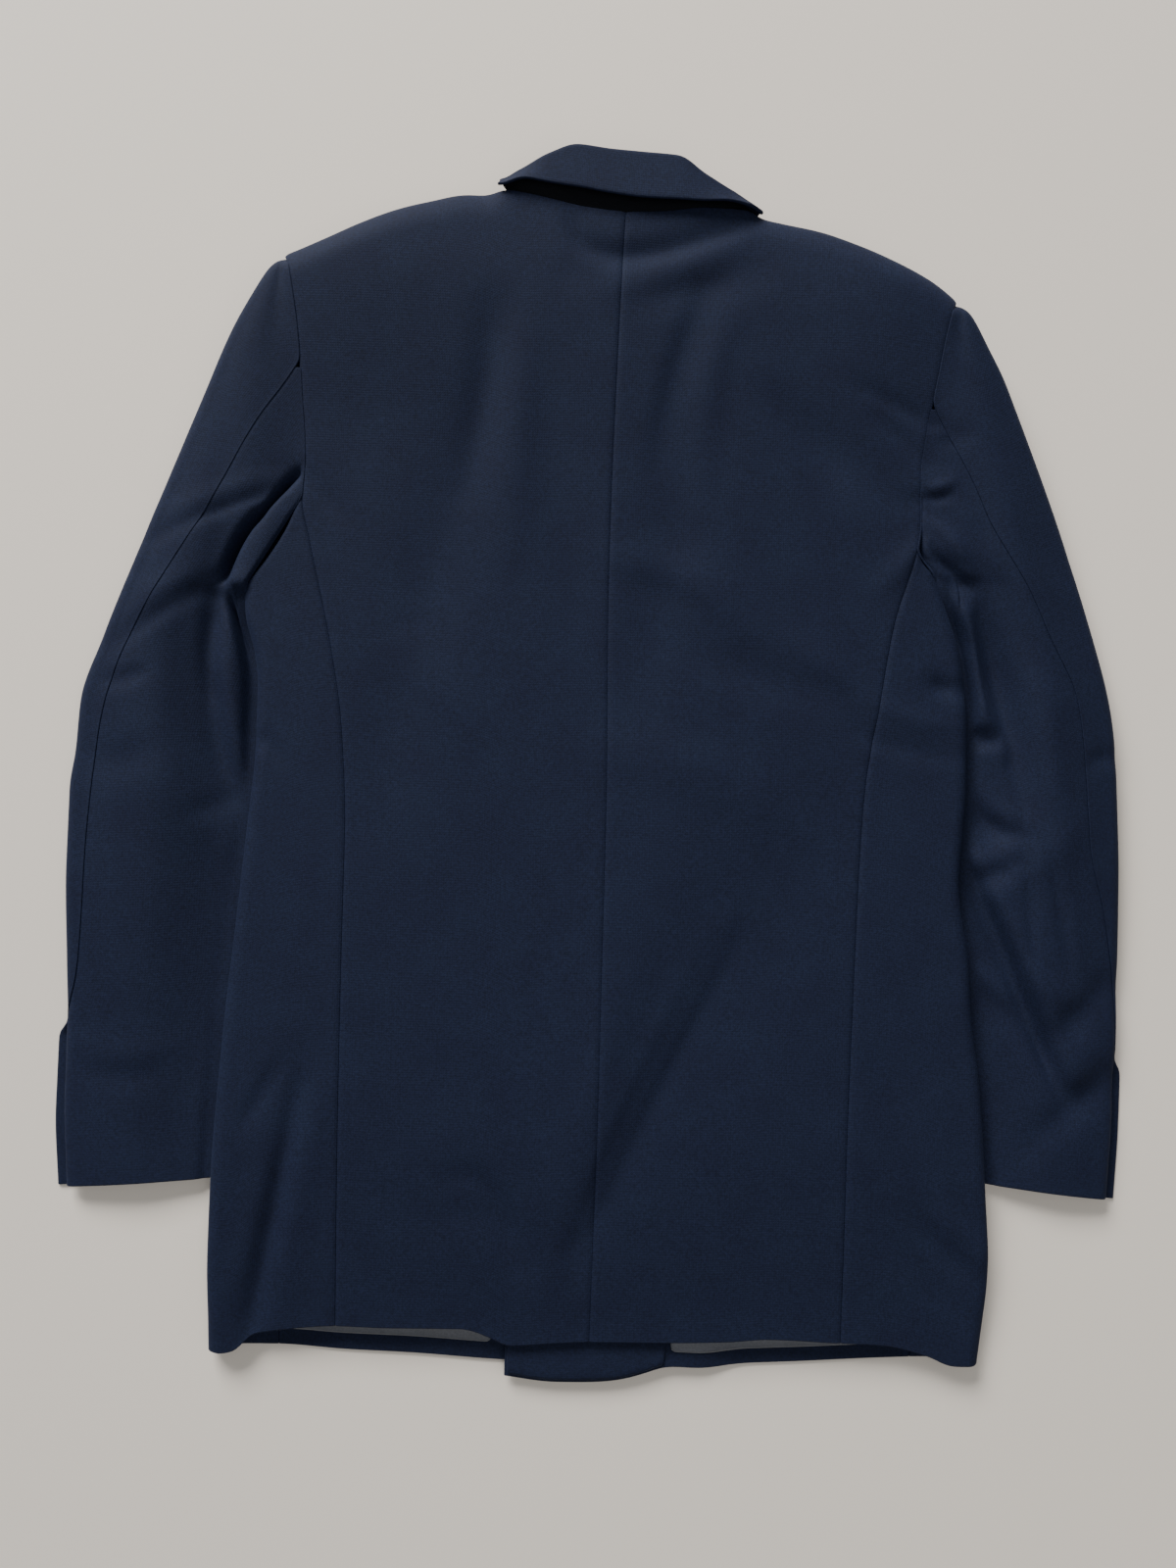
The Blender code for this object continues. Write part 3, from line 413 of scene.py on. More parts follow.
def relief(creases, x, y):
    """Sum of the soft ridges and troughs at the given points, each lower towards its two ends."""
    x, y = np.broadcast_arrays(np.asarray(x, float), np.asarray(y, float))
    total = np.zeros(x.shape)
    t = np.linspace(0, 1, CREASE_STEPS + 1)
    for x0, y0, x1, y1, x2, y2, width, rise, *lean in creases:
        px = (1 - t) ** 2 * x0 + 2 * t * (1 - t) * x1 + t * t * x2
        py = (1 - t) ** 2 * y0 + 2 * t * (1 - t) * y1 + t * t * y2
        far = width * CREASE_REACH
        close = (x > px.min() - far) & (x < px.max() + far) & (y > py.min() - far) & (y < py.max() + far)
        if not close.any():
            continue
        step_x, step_y = np.diff(px), np.diff(py)
        off_x, off_y = x[close][:, None] - px[:-1], y[close][:, None] - py[:-1]
        part = np.clip((off_x * step_x + off_y * step_y) / (step_x ** 2 + step_y ** 2), 0, 1)
        off_x, off_y = off_x - part * step_x, off_y - part * step_y
        gap = off_x ** 2 + off_y ** 2
        nearest = gap.argmin(axis=1)
        row = np.arange(len(nearest))
        turn = np.sign(step_x[nearest] * off_y[row, nearest] - step_y[nearest] * off_x[row, nearest])
        distance = np.sqrt(gap[row, nearest]) * turn
        place = (nearest + part[row, nearest]) / CREASE_STEPS
        wide = width * (1 + (lean[0] if lean else 0) * np.tanh(distance / width))
        total[close] += rise * np.sin(math.pi * (0.12 + 0.76 * place)) * np.exp(-(distance / wide) ** 2)
    return total


def shoulder_fall(x, y):
    """How far round the shoulder a point lies, 0 on the flat and 1 at the shoulder seam."""
    top = np.where(x < 2, along(TOP[-1], x), along(TOP[1], x))
    outside = np.where(x < 0, smooth_step(NECK_LEFT + 5, NECK_LEFT - 12, x),
                       smooth_step(NECK_RIGHT - 6, NECK_RIGHT + 8, x))
    part = np.clip(1 - (top - y) / SHOULDER_ROUND, 0, 1)
    return outside * (1 - np.sqrt(1 - part * part))


def back_level(x, y):
    """Middle of the back cloth."""
    level = along(BACK_LEVEL, y) + relief(BACK_FOLDS, x, y) + relief(BACK_CREASES, x, y)
    level = level + PAD_RISE * np.exp(-((abs(x) - PAD_X) / PAD_WIDTH) ** 2 - ((y - PAD_Y) / PAD_LENGTH) ** 2)
    fall = shoulder_fall(x, y)
    return level * (1 - fall) + (SHOULDER_SEAM_LEVEL + SHOULDER_SPLIT) * fall


def sleeve_under(side, x, y):
    """1 where a tucked sleeve lies under the body, 0 away from it."""
    inner = along(SLEEVE_IN[side], y)
    across = smooth_step(*TUCK_SIDE, side * (inner - x))
    return across * smooth_step(*TUCK_TOP[side], y) * smooth_step(*TUCK_FOOT, y)


def front_level(side, x, y):
    """Middle of a front, over the tucked sleeves, lapels and buttons; the right one lies on the left."""
    middle = smooth_step(*LIFT_SIDE, -x) * smooth_step(*LIFT_SIDE, x)
    middle = middle * smooth_step(*LIFT_FOOT, y) * smooth_step(*LIFT_TOP, y)
    level = FLOOR_LEVEL + np.maximum(BUTTON_LIFT * middle, SLEEVE_LIFT * sleeve_under(side, x, y))
    if side > 0:
        edge = along(FRONT_EDGE[-1], y)
        level = level + OVERLAP_RISE * smooth_step(*OVERLAP_SIDE, x - edge)
    fall = shoulder_fall(x, y)
    return level * (1 - fall) + (SHOULDER_SEAM_LEVEL - SHOULDER_SPLIT) * fall


def cloth_normals(points):
    """Unit normals of a grid of points."""
    up = np.gradient(points, axis=0)
    across = np.gradient(points, axis=1)
    normal = np.cross(across, up)
    return normal / np.maximum(np.linalg.norm(normal, axis=2, keepdims=True), 1e-9)


def reach(points, axis):
    """Length along the cloth from its first row or column, at each point."""
    steps = np.linalg.norm(np.diff(points, axis=axis), axis=2)
    start = np.zeros_like(np.take(steps, [0], axis=axis))
    return np.cumsum(np.concatenate((start, steps), axis=axis), axis=axis)


def sunk_seams(points, edges, up=1, sink=SEAM_SINK):
    """Draw the cloth in along its sewn edges, a little unevenly, as stitching does."""
    normal = cloth_normals(points)
    across, length = reach(points, 1), reach(points, 0)
    away = {"first": across, "last": across[:, -1:] - across, "low": length, "high": length[-1:] - length}
    run = {"first": length, "last": length, "low": across, "high": across}
    depth = np.zeros(across.shape)
    for edge in edges:
        pucker = 1 + PUCKER * np.sin(run[edge] / PUCKER_WAVES[0]) * np.sin(run[edge] / PUCKER_WAVES[1])
        depth = np.maximum(depth, sink * pucker * np.exp(-(away[edge] / SEAM_REACH) ** 2))
    return points - up * normal * depth[:, :, None]


def patch(left, right, bottom, top, rows, columns):
    """Fill four edges, each a function of 0 to 1, with a grid of points in the plane."""
    v, u = np.array(rows)[:, None, None], np.array(columns)[None, :, None]
    sides = [np.array([edge(k) for k in rows])[:, None, :] for edge in (left, right)]
    ends = [np.array([edge(k) for k in columns])[None, :, :] for edge in (bottom, top)]
    grid = (1 - u) * sides[0] + u * sides[1] + (1 - v) * ends[0] + v * ends[1]
    return grid - ((1 - v) * ((1 - u) * left(0) + u * right(0)) + v * ((1 - u) * left(1) + u * right(1)))


def places(count, length, close=(0.0, 0.9, 2.0, 3.8, 6.5)):
    """Places from 0 to 1 along a length in millimetres, closer together at both ends."""
    near = np.array(close) / length
    middle = np.linspace(near[-1], 1 - near[-1], count + 1)[1:-1]
    return np.concatenate((near, middle, 1 - near[::-1]))


def edge_by_height(table, low, high):
    """Edge of a patch from a table of height and x."""
    return lambda part: np.array((along(table, low + (high - low) * part), low + (high - low) * part))


def edge_by_width(table, start, end):
    """Edge of a patch from a table of x and height."""
    return lambda part: np.array((start + (end - start) * part, along(table, start + (end - start) * part)))


def raised(plane, level):
    """Give each point of a plane grid its height."""
    return np.dstack((plane, level(plane[:, :, 0], plane[:, :, 1])))


def built(name, bm, finish):
    """Close a mesh and place it in the scene in its finish."""
    mesh = bpy.data.meshes.new(name)
    bm.to_mesh(mesh)
    bm.free()
    mesh.materials.append(finish)
    return placed(name, mesh)


def placed(name, data):
    """Place a mesh, a light or the camera in the scene."""
    thing = bpy.data.objects.new(name, data)
    bpy.context.collection.objects.link(thing)
    return thing


def cloth(name, points, thick, finish):
    """A sheet of cloth on a grid of points, with the wall and the soft edges that its thickness gives."""
    rows, columns = points.shape[:2]
    world = (points - (BOX_X, BOX_Y, 0)) * MM
    along_cloth, across_cloth = reach(points, 0), reach(points, 1)
    bm = bmesh.new()
    laid = bm.loops.layers.uv.new("cloth")
    bmesh.ops.create_grid(bm, x_segments=columns - 1, y_segments=rows - 1, size=1)
    where = {}
    for corner in bm.verts:
        c = round((corner.co.x + 1) / 2 * (columns - 1))
        r = round((corner.co.y + 1) / 2 * (rows - 1))
        where[corner] = (r, c)
        corner.co = Vector(world[r, c])
    for face in bm.faces:
        face.smooth = True
        for loop in face.loops:
            r, c = where[loop.vert]
            loop[laid].uv = (across_cloth[r, c] * MM, along_cloth[r, c] * MM)
    piece = built(name, bm, finish)
    wall = piece.modifiers.new("cloth wall", "SOLIDIFY")
    wall.thickness = thick * MM
    wall.offset = 0
    soft = piece.modifiers.new("soft surface", "SUBSURF")
    soft.levels = soft.render_levels = 1
    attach(piece, "root")
    return piece


def back_half(side):
    """Half of the back, rows from hem to shoulder, columns across."""
    edge = BACK_EDGE[side]
    top = TOP[side]
    left, right = (edge, CENTRE_BACK) if side < 0 else (CENTRE_BACK, edge)
    left_foot, right_foot = left[0][1], right[0][1]
    plane = patch(
        edge_by_height(left, along(BACK_HEM, left_foot), along(top, left[-1][1])),
        edge_by_height(right, along(BACK_HEM, right_foot), along(top, right[-1][1])),
        edge_by_width(BACK_HEM, left_foot, right_foot),
        edge_by_width(top, left[-1][1], right[-1][1]),
        places(*BACK_ROWS), places(*BACK_COLUMNS))
    plane[:, -1 if side < 0 else 0, 0] -= side * SEAM_LAP
    return sunk_seams(raised(plane, back_level), ("first", "last"))


def under_seam(side, y):
    """Seam between side panel and front, on the underside."""
    folds = FOLD[side]
    foot, x_foot = FRONT_ARMHOLE[side][0]
    plain = along(folds, y) - side * FRONT_SEAM_IN
    shift = x_foot - (along(folds, foot) - side * FRONT_SEAM_IN)
    return plain + shift * smooth_step(foot - FRONT_SEAM_RUN, foot, y)


def side_section(side, y, part):
    """Points of the side panel's section at heights y, from the side-back seam round to the underside."""
    seam = along(BACK_EDGE[side], y)
    fold = along(FOLD[side], y)
    start = fold - side * np.minimum(FOLD_ROUND, 0.6 * abs(fold - seam))
    if part < TOP_PART:
        x = seam + (start - seam) * part / TOP_PART
        return x, back_level(x, y)
    if part < TURN_PART:
        top_level = back_level(start, y)
        low_level = front_level(side, fold - side * FOLD_ROUND, y)
        angle = math.pi * (0.5 - (part - 0.5) / 0.3)
        x = start + side * abs(fold - start) * math.cos(angle)
        if angle < 0:
            x = fold - side * FOLD_ROUND * (1 - math.cos(angle))
        return x, (top_level + low_level) / 2 + (top_level - low_level) / 2 * math.sin(angle)
    x = fold - side * FOLD_ROUND
    gap = UNDER_SEAM_GAP + UNDERARM_EASE * smooth_step(*UNDERARM_HEIGHT, y)
    x = x + (under_seam(side, y) + side * gap - x) * (part - TURN_PART) / 0.2
    return x, front_level(side, x, y)


def side_panel(side):
    """Side panel, from the side-back seam round the fold to its seam with the front."""
    top_seam = ARMHOLE_FOOT[side]
    top_fold = FOLD[side][-1][0]
    top_under = FRONT_ARMHOLE[side][0][0]
    x_seam, x_fold = side_section(side, top_fold, 0)[0], side_section(side, top_fold, MIDDLE_PART)[0]
    front_hem = FRONT_HEM[side]
    parts = np.concatenate(((0, 0.006, 0.015, 0.03, 0.05), np.linspace(0.08, TOP_PART, 13),
                            np.linspace(0.515, TURN_PART, 15), (0.86, 0.92, 0.96, 0.985, 0.997, 1)))
    rows = places(*SIDE_ROWS)
    columns = []
    for part in parts:
        x_top = side_section(side, top_fold, part)[0]
        top = top_seam + (top_fold - top_seam) * min(1, abs(x_top - x_seam) / abs(x_fold - x_seam))
        if part > MIDDLE_PART:
            top = top_fold + (top_under - top_fold) * smooth_step(0.7, 1, part)
        low = along(BACK_HEM if part <= MIDDLE_PART else front_hem, side_section(side, 0, part)[0])
        y = low + (top - low) * rows
        x, z = side_section(side, y, part)
        columns.append(np.stack([x, y, z], -1))
    return sunk_seams(np.array(columns).transpose(1, 0, 2), ("first", "high"), up=side)


def front(side):
    """Middle of a front, rows from hem to shoulder, columns from the side to the front edge."""
    hem = FRONT_HEM[side]
    armhole = FRONT_ARMHOLE[side]
    opening = FRONT_EDGE[side]
    shoulder = TOP[side]
    outer_low, inner_low = along(hem, under_seam(side, 0)), along(hem, opening[0][1])
    foot, tip = armhole[0][0], armhole[-1][0]

    def outer(part):
        y = outer_low + (tip - outer_low) * part
        return np.array((under_seam(side, y) if y < foot else along(armhole, y), y))

    inner = edge_by_height(opening, inner_low, along(shoulder, FRONT_NECK[side]))
    plane = patch(outer, inner, edge_by_width(hem, outer(0)[0], inner(0)[0]),
                  edge_by_width(shoulder, armhole[-1][1], inner(1)[0]),
                  places(*FRONT_ROWS), places(*FRONT_COLUMNS))
    return raised(plane, lambda x, y: front_level(side, x, y))


def inside_layer(side, points, start, end, low, high, rise):
    """Lining or facing on the inside of a front, over the given part of its width and length."""
    normal = cloth_normals(points) * -side
    moved = points + normal * rise
    rows, columns = moved.shape[:2]
    r = np.interp(np.linspace(low, high, INSIDE_ROWS), places(*FRONT_ROWS), np.arange(rows))
    c = np.interp(np.linspace(start, end, INSIDE_COLUMNS), places(*FRONT_COLUMNS), np.arange(columns))
    r0, c0 = np.minimum(r.astype(int), rows - 2), np.minimum(c.astype(int), columns - 2)
    fr, fc = (r - r0)[:, None, None], (c - c0)[None, :, None]
    rows_low = moved[r0][:, c0] * (1 - fc) + moved[r0][:, c0 + 1] * fc
    rows_high = moved[r0 + 1][:, c0] * (1 - fc) + moved[r0 + 1][:, c0 + 1] * fc
    return rows_low * (1 - fr) + rows_high * fr


def armhole_on_top(side, y):
    """The armhole seam where it shows: down the back, then out to the side fold under the arm."""
    edge, foot, fold = BACK_EDGE[side], ARMHOLE_FOOT[side], FOLD[side]
    if y >= foot:
        return along(edge, y)
    part = (foot - y) / (foot - fold[-1][0])
    return along(edge, foot) + (fold[-1][1] - along(edge, foot)) * min(1.0, part)


def sleeve_level(side, x, y):
    """Middle of the sleeve's upper wall, at places x along one height y."""
    outer, underarm = along(SLEEVE_OUT[side], y), SLEEVE_IN[side][-1][0]
    body = armhole_on_top(side, y) if y > underarm else along(FOLD[side], y) + side * 6
    part = np.clip((x - outer) / (body - outer), 0, 1)
    near, crown, inner = (along(SLEEVE_LEVELS, y, column) for column in (1, 2, 3))
    rounded = near + (crown - near) * np.sin(math.pi / 2 * np.minimum(part, CROWN_PART) / CROWN_PART)
    falling = crown + (inner - crown) * smooth_step(CROWN_PART, 1, part)
    level = np.where(part < CROWN_PART, rounded, falling)
    creases = relief(SLEEVE_FOLDS, x, y) + relief(SLEEVE_CREASES, x, y)
    level = level + creases * smooth_step(0, 0.12, part) * smooth_step(1, 0.985, part)
    level = np.maximum(level, SLEEVE_LOWEST)
    if y > underarm:
        return level + (back_level(body, y) - inner) * smooth_step(0.6, 1, part)
    past = side * (body - x)
    tuck = smooth_step(-8, 0, past) * smooth_step(underarm - 5, underarm - 50, y)
    return level * (1 - tuck) + TUCKED_LEVEL * tuck


def outer_fold(side, y, angle):
    """Points of the sleeve's outer fold, from pi/2 on top to -pi/2 underneath."""
    outer = along(SLEEVE_OUT[side], y)
    top = sleeve_level(side, outer - side * SLEEVE_ROUND, y)
    low = SLEEVE_CLOTH / 2
    x = outer - side * SLEEVE_ROUND * (1 - np.cos(angle))
    return np.stack([x, np.full(x.shape, float(y)), (top + low) / 2 + (top - low) / 2 * np.sin(angle)], -1)


def upper_wall(side, x, y):
    """Points of the sleeve's upper wall, bent down where it nears the outer fold."""
    past = side * (along(SLEEVE_OUT[side], y) - x)
    flat = np.stack([x, np.full(x.shape, float(y)), sleeve_level(side, x, y)], -1)
    angle = np.arccos(np.clip(1 - past / SLEEVE_ROUND, -1, 1))
    bent = outer_fold(side, y, angle)
    return np.where((past < SLEEVE_ROUND)[:, None], bent, flat)


def spread(pieces, at):
    """Points at the given parts of a section, closer together where a piece has more weight."""
    line = np.concatenate([piece for _, piece in pieces])
    weight = np.concatenate([np.full(len(piece), float(heavy)) for heavy, piece in pieces])
    step = np.linalg.norm(np.diff(line, axis=0), axis=1)
    keep = np.concatenate(([True], step > 1e-6))
    line, weight = line[keep], weight[keep]
    step = np.linalg.norm(np.diff(line, axis=0), axis=1) * weight[1:]
    reached = np.concatenate(([0], np.cumsum(step)))
    return np.array([np.interp(at * reached[-1], reached, line[:, axis]) for axis in range(3)]).T


def flat_run(start, end, y, level, steps=40):
    """A level stretch of a section."""
    x = np.linspace(start, end, steps)
    return np.stack([x, np.full(steps, float(y)), np.full(steps, level)], -1)


def fore_seam(side, y):
    """Seam between the two sleeve pieces on the underside, near the inner fold."""
    underarm = SLEEVE_IN[side][-1][0]
    way_in = FORE_SEAM_IN + FORE_SEAM_MORE * smooth_step(underarm, underarm - 60, y)
    return along(SLEEVE_IN[side], y) + side * way_in


def sleeve_heights(side):
    """Heights of the upper sleeve's rows, from cuff to shoulder tip."""
    low, high = SLEEVE_OUT[side][0][0], SLEEVE_OUT[side][-1][0]
    return low + (high - low) * places(*UPPER_ROWS, close=(0.0, 0.9, 2.2, 4.2, 6.6, 9.4, 12.6))


def slanted_cuff(side, points):
    """Lower the cuff's outer end a little, as it lies in the photograph."""
    past = np.abs(points[:, :, 0] - side * CUFF_INNER)
    slant, lift = CUFF[side]
    drop = (slant * (past - CUFF_TURN) - lift) * smooth_step(*CUFF_FADE, points[:, :, 1])
    points[:, :, 1] -= drop
    return points


def closed_head(side, points):
    """Round the sleeve over at the shoulder tip, down to the shoulder seam's level."""
    top = SLEEVE_OUT[side][-1][0]
    past = np.clip((points[:, :, 1] - top + HEAD_ROUND) / HEAD_ROUND, 0, 1)
    above = points[:, :, 2] - SHOULDER_SEAM_LEVEL
    points[:, :, 2] = SHOULDER_SEAM_LEVEL + above * np.sqrt(1 - past ** 2 * 0.97)
    return points


def upper_sleeve(side):
    """From the hind-arm seam round the outer fold and along the underside."""
    hind, vent = HIND[side], VENT_TOP[side]
    underarm, low = SLEEVE_IN[side][-1][0], SLEEVE_CLOTH / 2
    at = places(*UPPER_COLUMNS)
    grid = []
    for y in sleeve_heights(side):
        outer = along(SLEEVE_OUT[side], y)
        seam = along(hind, y) if y < hind[-1][0] else armhole_on_top(side, y) + side * ARMHOLE_GAP
        edge = outer - side * SLEEVE_ROUND
        end = fore_seam(side, y) + side * SEAM_GAP
        if y > underarm:
            open_end = along(FRONT_ARMHOLE[side], y) + side * 2 * ARMHOLE_GAP
            end = open_end + (end - open_end) * smooth_step(underarm + 30, underarm, y)
        pieces = []
        first = math.pi / 2
        if side * (edge - seam) > 0:
            pieces.append((1, upper_wall(side, np.linspace(seam, edge, 60), y)))
        else:
            first = math.acos(np.clip(1 - side * (outer - seam) / SLEEVE_ROUND, -1, 1)) - SEAM_TURN
        pieces.append((1.6, outer_fold(side, y, np.linspace(first, -math.pi / 2, 40))))
        pieces.append((0.6, flat_run(edge, end, y, low)))
        row = spread(pieces, at)
        flat = flat_run(outer + side * VENT_UNDERLAP, end, y, low, len(at))
        open_vent = smooth_step(vent + 2, vent - 2, y)
        grid.append(row * (1 - open_vent) + flat * open_vent)
    grid = sunk_seams(np.array(grid), ("first",), up=-side, sink=HIND_SINK)
    return closed_head(side, slanted_cuff(side, grid))


def under_sleeve(side):
    """From the hind-arm seam to the armhole, or round the inner fold below the underarm."""
    in_table, hind = SLEEVE_IN[side], HIND[side]
    underarm, low = in_table[-1][0], SLEEVE_CLOTH / 2
    at = places(*UNDER_COLUMNS)
    low_end, length = hind[0][0], hind[-1][0] - 0.5 - hind[0][0]
    rows = places(UNDER_ROWS, length)
    grid = []
    for y in low_end + length * (rows + ROWS_TO_ARMPIT * np.sin(math.pi * rows)):
        seam = along(hind, y)
        inner = along(in_table, y) if y < underarm else armhole_on_top(side, y) + side * ARMHOLE_GAP
        turn = inner + side * SLEEVE_BEND
        middle = turn + 0.4 * (seam - turn)
        pieces = [(1, upper_wall(side, np.linspace(seam, middle, 80), y)),
                  (1.8, upper_wall(side, np.linspace(middle, turn, 60), y))]
        if y > underarm:
            pieces.append((1, upper_wall(side, np.linspace(turn, inner, 6), y)))
        else:
            top = pieces[1][1][-1, 2]
            closing = math.pi * smooth_step(underarm + 1, underarm - 60, y)
            angle = math.pi / 2 - closing * np.linspace(0, 1, 13)
            pieces.append((3, np.stack([
                inner + side * SLEEVE_BEND * (1 - np.cos(angle)), np.full(13, float(y)),
                (top + low) / 2 + (top - low) / 2 * np.sin(angle)], -1)))
            reached = smooth_step(underarm - 50, underarm - 130, y)
            end = turn + (fore_seam(side, y) - side * SEAM_GAP - turn) * reached
            if closing > math.pi - 0.01:
                pieces.append((1, flat_run(turn, end, y, low, 10)))
        grid.append(spread(pieces, at))
    return slanted_cuff(side, sunk_seams(np.array(grid), ("first",), up=-side, sink=HIND_SINK))


def collar():
    """Stand, roll and fall, as one bent wall round the back neck."""
    table = [(k, *row) for k, row in enumerate(COLLAR)]
    at = np.linspace(0.75, len(COLLAR) - 1, COLLAR_ROWS)
    columns = np.array([along(table, at, 1 + column) for column in range(9)]).T
    tips = columns[:, :3]
    ways = np.gradient(tips, axis=0)
    grid = []
    for tip, way, row in zip(tips, ways, columns):
        fall, stand = row[3:6], row[6:9]
        fall_way, stand_way = fall / np.linalg.norm(fall), stand / np.linalg.norm(stand)
        inward = fall_way + stand_way
        inward /= np.linalg.norm(inward)
        out = np.cross(inward, way)
        out /= np.linalg.norm(out)
        out *= np.sign(np.dot(out, fall_way - stand_way))
        centre = tip + inward * COLLAR_ROLL
        first, last = centre + out * COLLAR_ROLL, centre - out * COLLAR_ROLL
        angle = np.linspace(0, math.pi, 11)[:, None]
        roll = centre + out * COLLAR_ROLL * np.cos(angle) - inward * COLLAR_ROLL * np.sin(angle)
        fall_line = tip + fall + (first - tip - fall) * np.linspace(0, 0.96, 10)[:, None]
        stand_line = last + (tip + stand - last) * np.linspace(0.06, 1, 9)[:, None]
        tucked = tip + stand + np.outer((0.5, 1), (0, -6, -4.5))
        grid.append(np.concatenate((fall_line, roll, stand_line, tucked)))
    return np.array(grid)


def lapel(corners):
    """Flat lapel on the floor, under its front."""
    foot, top, peak, notch = (np.array(corner, float) for corner in corners)
    outline = ((0, *(foot + (-8 if foot[0] > top[0] else 8, 2))), (0.8, *peak), (1, *notch))
    rows = []
    for v in np.linspace(0, 1, 30):
        roll = foot + (top - foot) * v
        edge = np.array([np.interp(v, [line[0] for line in outline], [line[k] for line in outline])
                         for k in (1, 2)])
        line = roll + (edge - roll) * np.linspace(0, 1, 12)[:, None]
        rows.append(np.column_stack((line, np.full(12, LAPEL_LEVEL))))
    return np.array(rows)


def linear(code):
    """sRGB hex colour as the linear values that a shader takes."""
    parts = [int(code[k:k + 2], 16) / 255 for k in (1, 3, 5)]
    return [c / 12.92 if c <= 0.04045 else ((c + 0.055) / 1.055) ** 2.4 for c in parts] + [1]


def node(tree, kind, links=(), **settings):
    """Add a node: its settings, its plain values by socket name, and the sockets it takes from."""
    made = tree.nodes.new(kind)
    values = settings.pop("values", {})
    for key, value in settings.items():
        setattr(made, key, value)
    for key, value in values.items():
        made.inputs[key].default_value = value
    for key, (source, socket) in dict(links).items():
        tree.links.new(source.outputs[socket], made.inputs[key])
    return made


def new_finish(name, values):
    """A material with the given surface values: itself, its node tree, shader and texture places."""
    material = bpy.data.materials.new(name)
    material.use_nodes = True
    tree, shader = material.node_tree, material.node_tree.nodes["Principled BSDF"]
    for key, value in values.items():
        shader.inputs[key].default_value = value
    return material, tree, shader, node(tree, "ShaderNodeTexCoord")


def ramp(tree, source, socket, stops):
    """A run of colours over a texture's values."""
    made = node(tree, "ShaderNodeValToRGB", {"Fac": (source, socket)})
    band = made.color_ramp
    for k, (place, colour) in enumerate(stops):
        stop = band.elements[k] if k < 2 else band.elements.new(place)
        stop.position = place
        stop.color = colour
    return made


def worsted_wool():
    """Navy worsted, a plain fine weave of combed yarn: almost matt, with a soft bloom where it turns away."""
    material, tree, shader, place = new_finish("worsted_wool_woven", {
        "Roughness": 0.78, "Specular IOR Level": 0.14, "Sheen Weight": 0.05, "Sheen Roughness": 0.5,
        "Sheen Tint": linear("#7f92c8")})
    # Real yarns lie about 0.5 mm apart; the weave is drawn coarser, because they would not show
    cloth_scale = node(tree, "ShaderNodeMapping", {"Vector": (place, "UV")},
                       values={"Scale": (1 / YARN, 1 / YARN, 1)})
    warp, weft = (
        node(tree, "ShaderNodeTexWave", {"Vector": (cloth_scale, "Vector")}, bands_direction=way,
             values={"Scale": 0.31, "Distortion": 1.2, "Detail": 2.0, "Detail Scale": 1.4}) for way in "XY")
    weave = node(tree, "ShaderNodeMath", {0: (warp, "Fac"), 1: (weft, "Fac")}, operation="MULTIPLY")
    fibre = node(tree, "ShaderNodeTexNoise", {"Vector": (place, "Object")},
                 values={"Scale": 620, "Detail": 3, "Roughness": 0.7})
    slub = node(tree, "ShaderNodeTexNoise", {"Vector": (place, "Object")},
                values={"Scale": 34, "Detail": 4, "Roughness": 0.6})
    colour = ramp(tree, slub, "Fac", ((0.25, linear("#141a30")), (0.75, linear("#182036"))))
    grain = ramp(tree, fibre, "Fac", ((0.32, linear("#b4b4b4")), (0.70, linear("#ffffff"))))
    # Sockets 6 and 7 are the two colours that the node mixes, and its output 2 is the mixed one
    dyed = node(tree, "ShaderNodeMix", {6: (colour, "Color"), 7: (grain, "Color")},
                data_type="RGBA", blend_type="MULTIPLY", values={"Factor": 1.0})
    tree.links.new(dyed.outputs[2], shader.inputs["Base Color"])
    rough = node(tree, "ShaderNodeBump", {"Height": (fibre, "Fac")},
                 values={"Strength": 0.25, "Distance": 0.0004})
    woven = node(tree, "ShaderNodeBump", {"Height": (weave, "Value"), "Normal": (rough, "Normal")},
                 values={"Strength": 0.2, "Distance": 0.0004})
    tree.links.new(woven.outputs["Normal"], shader.inputs["Normal"])
    return material


def satin_lining():
    """Grey viscose lining, satin woven: smooth, with a soft shine along its small folds."""
    material, tree, shader, place = new_finish(
        "viscose_satin_lining", {"Roughness": 0.42, "Sheen Weight": 0.2})
    ripple = node(tree, "ShaderNodeTexNoise", {"Vector": (place, "Object")},
                  values={"Scale": 60, "Detail": 2, "Roughness": 0.5})
    thread = node(tree, "ShaderNodeTexNoise", {"Vector": (place, "Object")},
                  values={"Scale": 700, "Detail": 2, "Roughness": 0.5})
    colour = ramp(tree, thread, "Fac", ((0.3, linear("#3d3f46")), (0.7, linear("#4c4e55"))))
    tree.links.new(colour.outputs["Color"], shader.inputs["Base Color"])
    soft = node(tree, "ShaderNodeBump", {"Height": (ripple, "Fac")},
                values={"Strength": 0.4, "Distance": 0.002})
    tree.links.new(soft.outputs["Normal"], shader.inputs["Normal"])
    return material


def painted_shade_felt():
    """Melton felt under the collar, pressed from short fibres; its near-black colour is painted shade,
    standing in for the shade in the gap under the collar's fall.
    """
    material, tree, shader, place = new_finish(
        "felt_painted_shade_black", {"Roughness": 0.95, "Specular IOR Level": 0.15})
    fibre = node(tree, "ShaderNodeTexNoise", {"Vector": (place, "Object")},
                 values={"Scale": 900, "Detail": 3, "Roughness": 0.7})
    # Near-black ramp with fibre speckle: painted shade for the gap under the collar's fall
    colour = ramp(tree, fibre, "Fac", ((0.3, linear("#07080b")), (0.7, linear("#101218"))))
    tree.links.new(colour.outputs["Color"], shader.inputs["Base Color"])
    rough = node(tree, "ShaderNodeBump", {"Height": (fibre, "Fac")},
                 values={"Strength": 0.5, "Distance": 0.0006})
    tree.links.new(rough.outputs["Normal"], shader.inputs["Normal"])
    return material


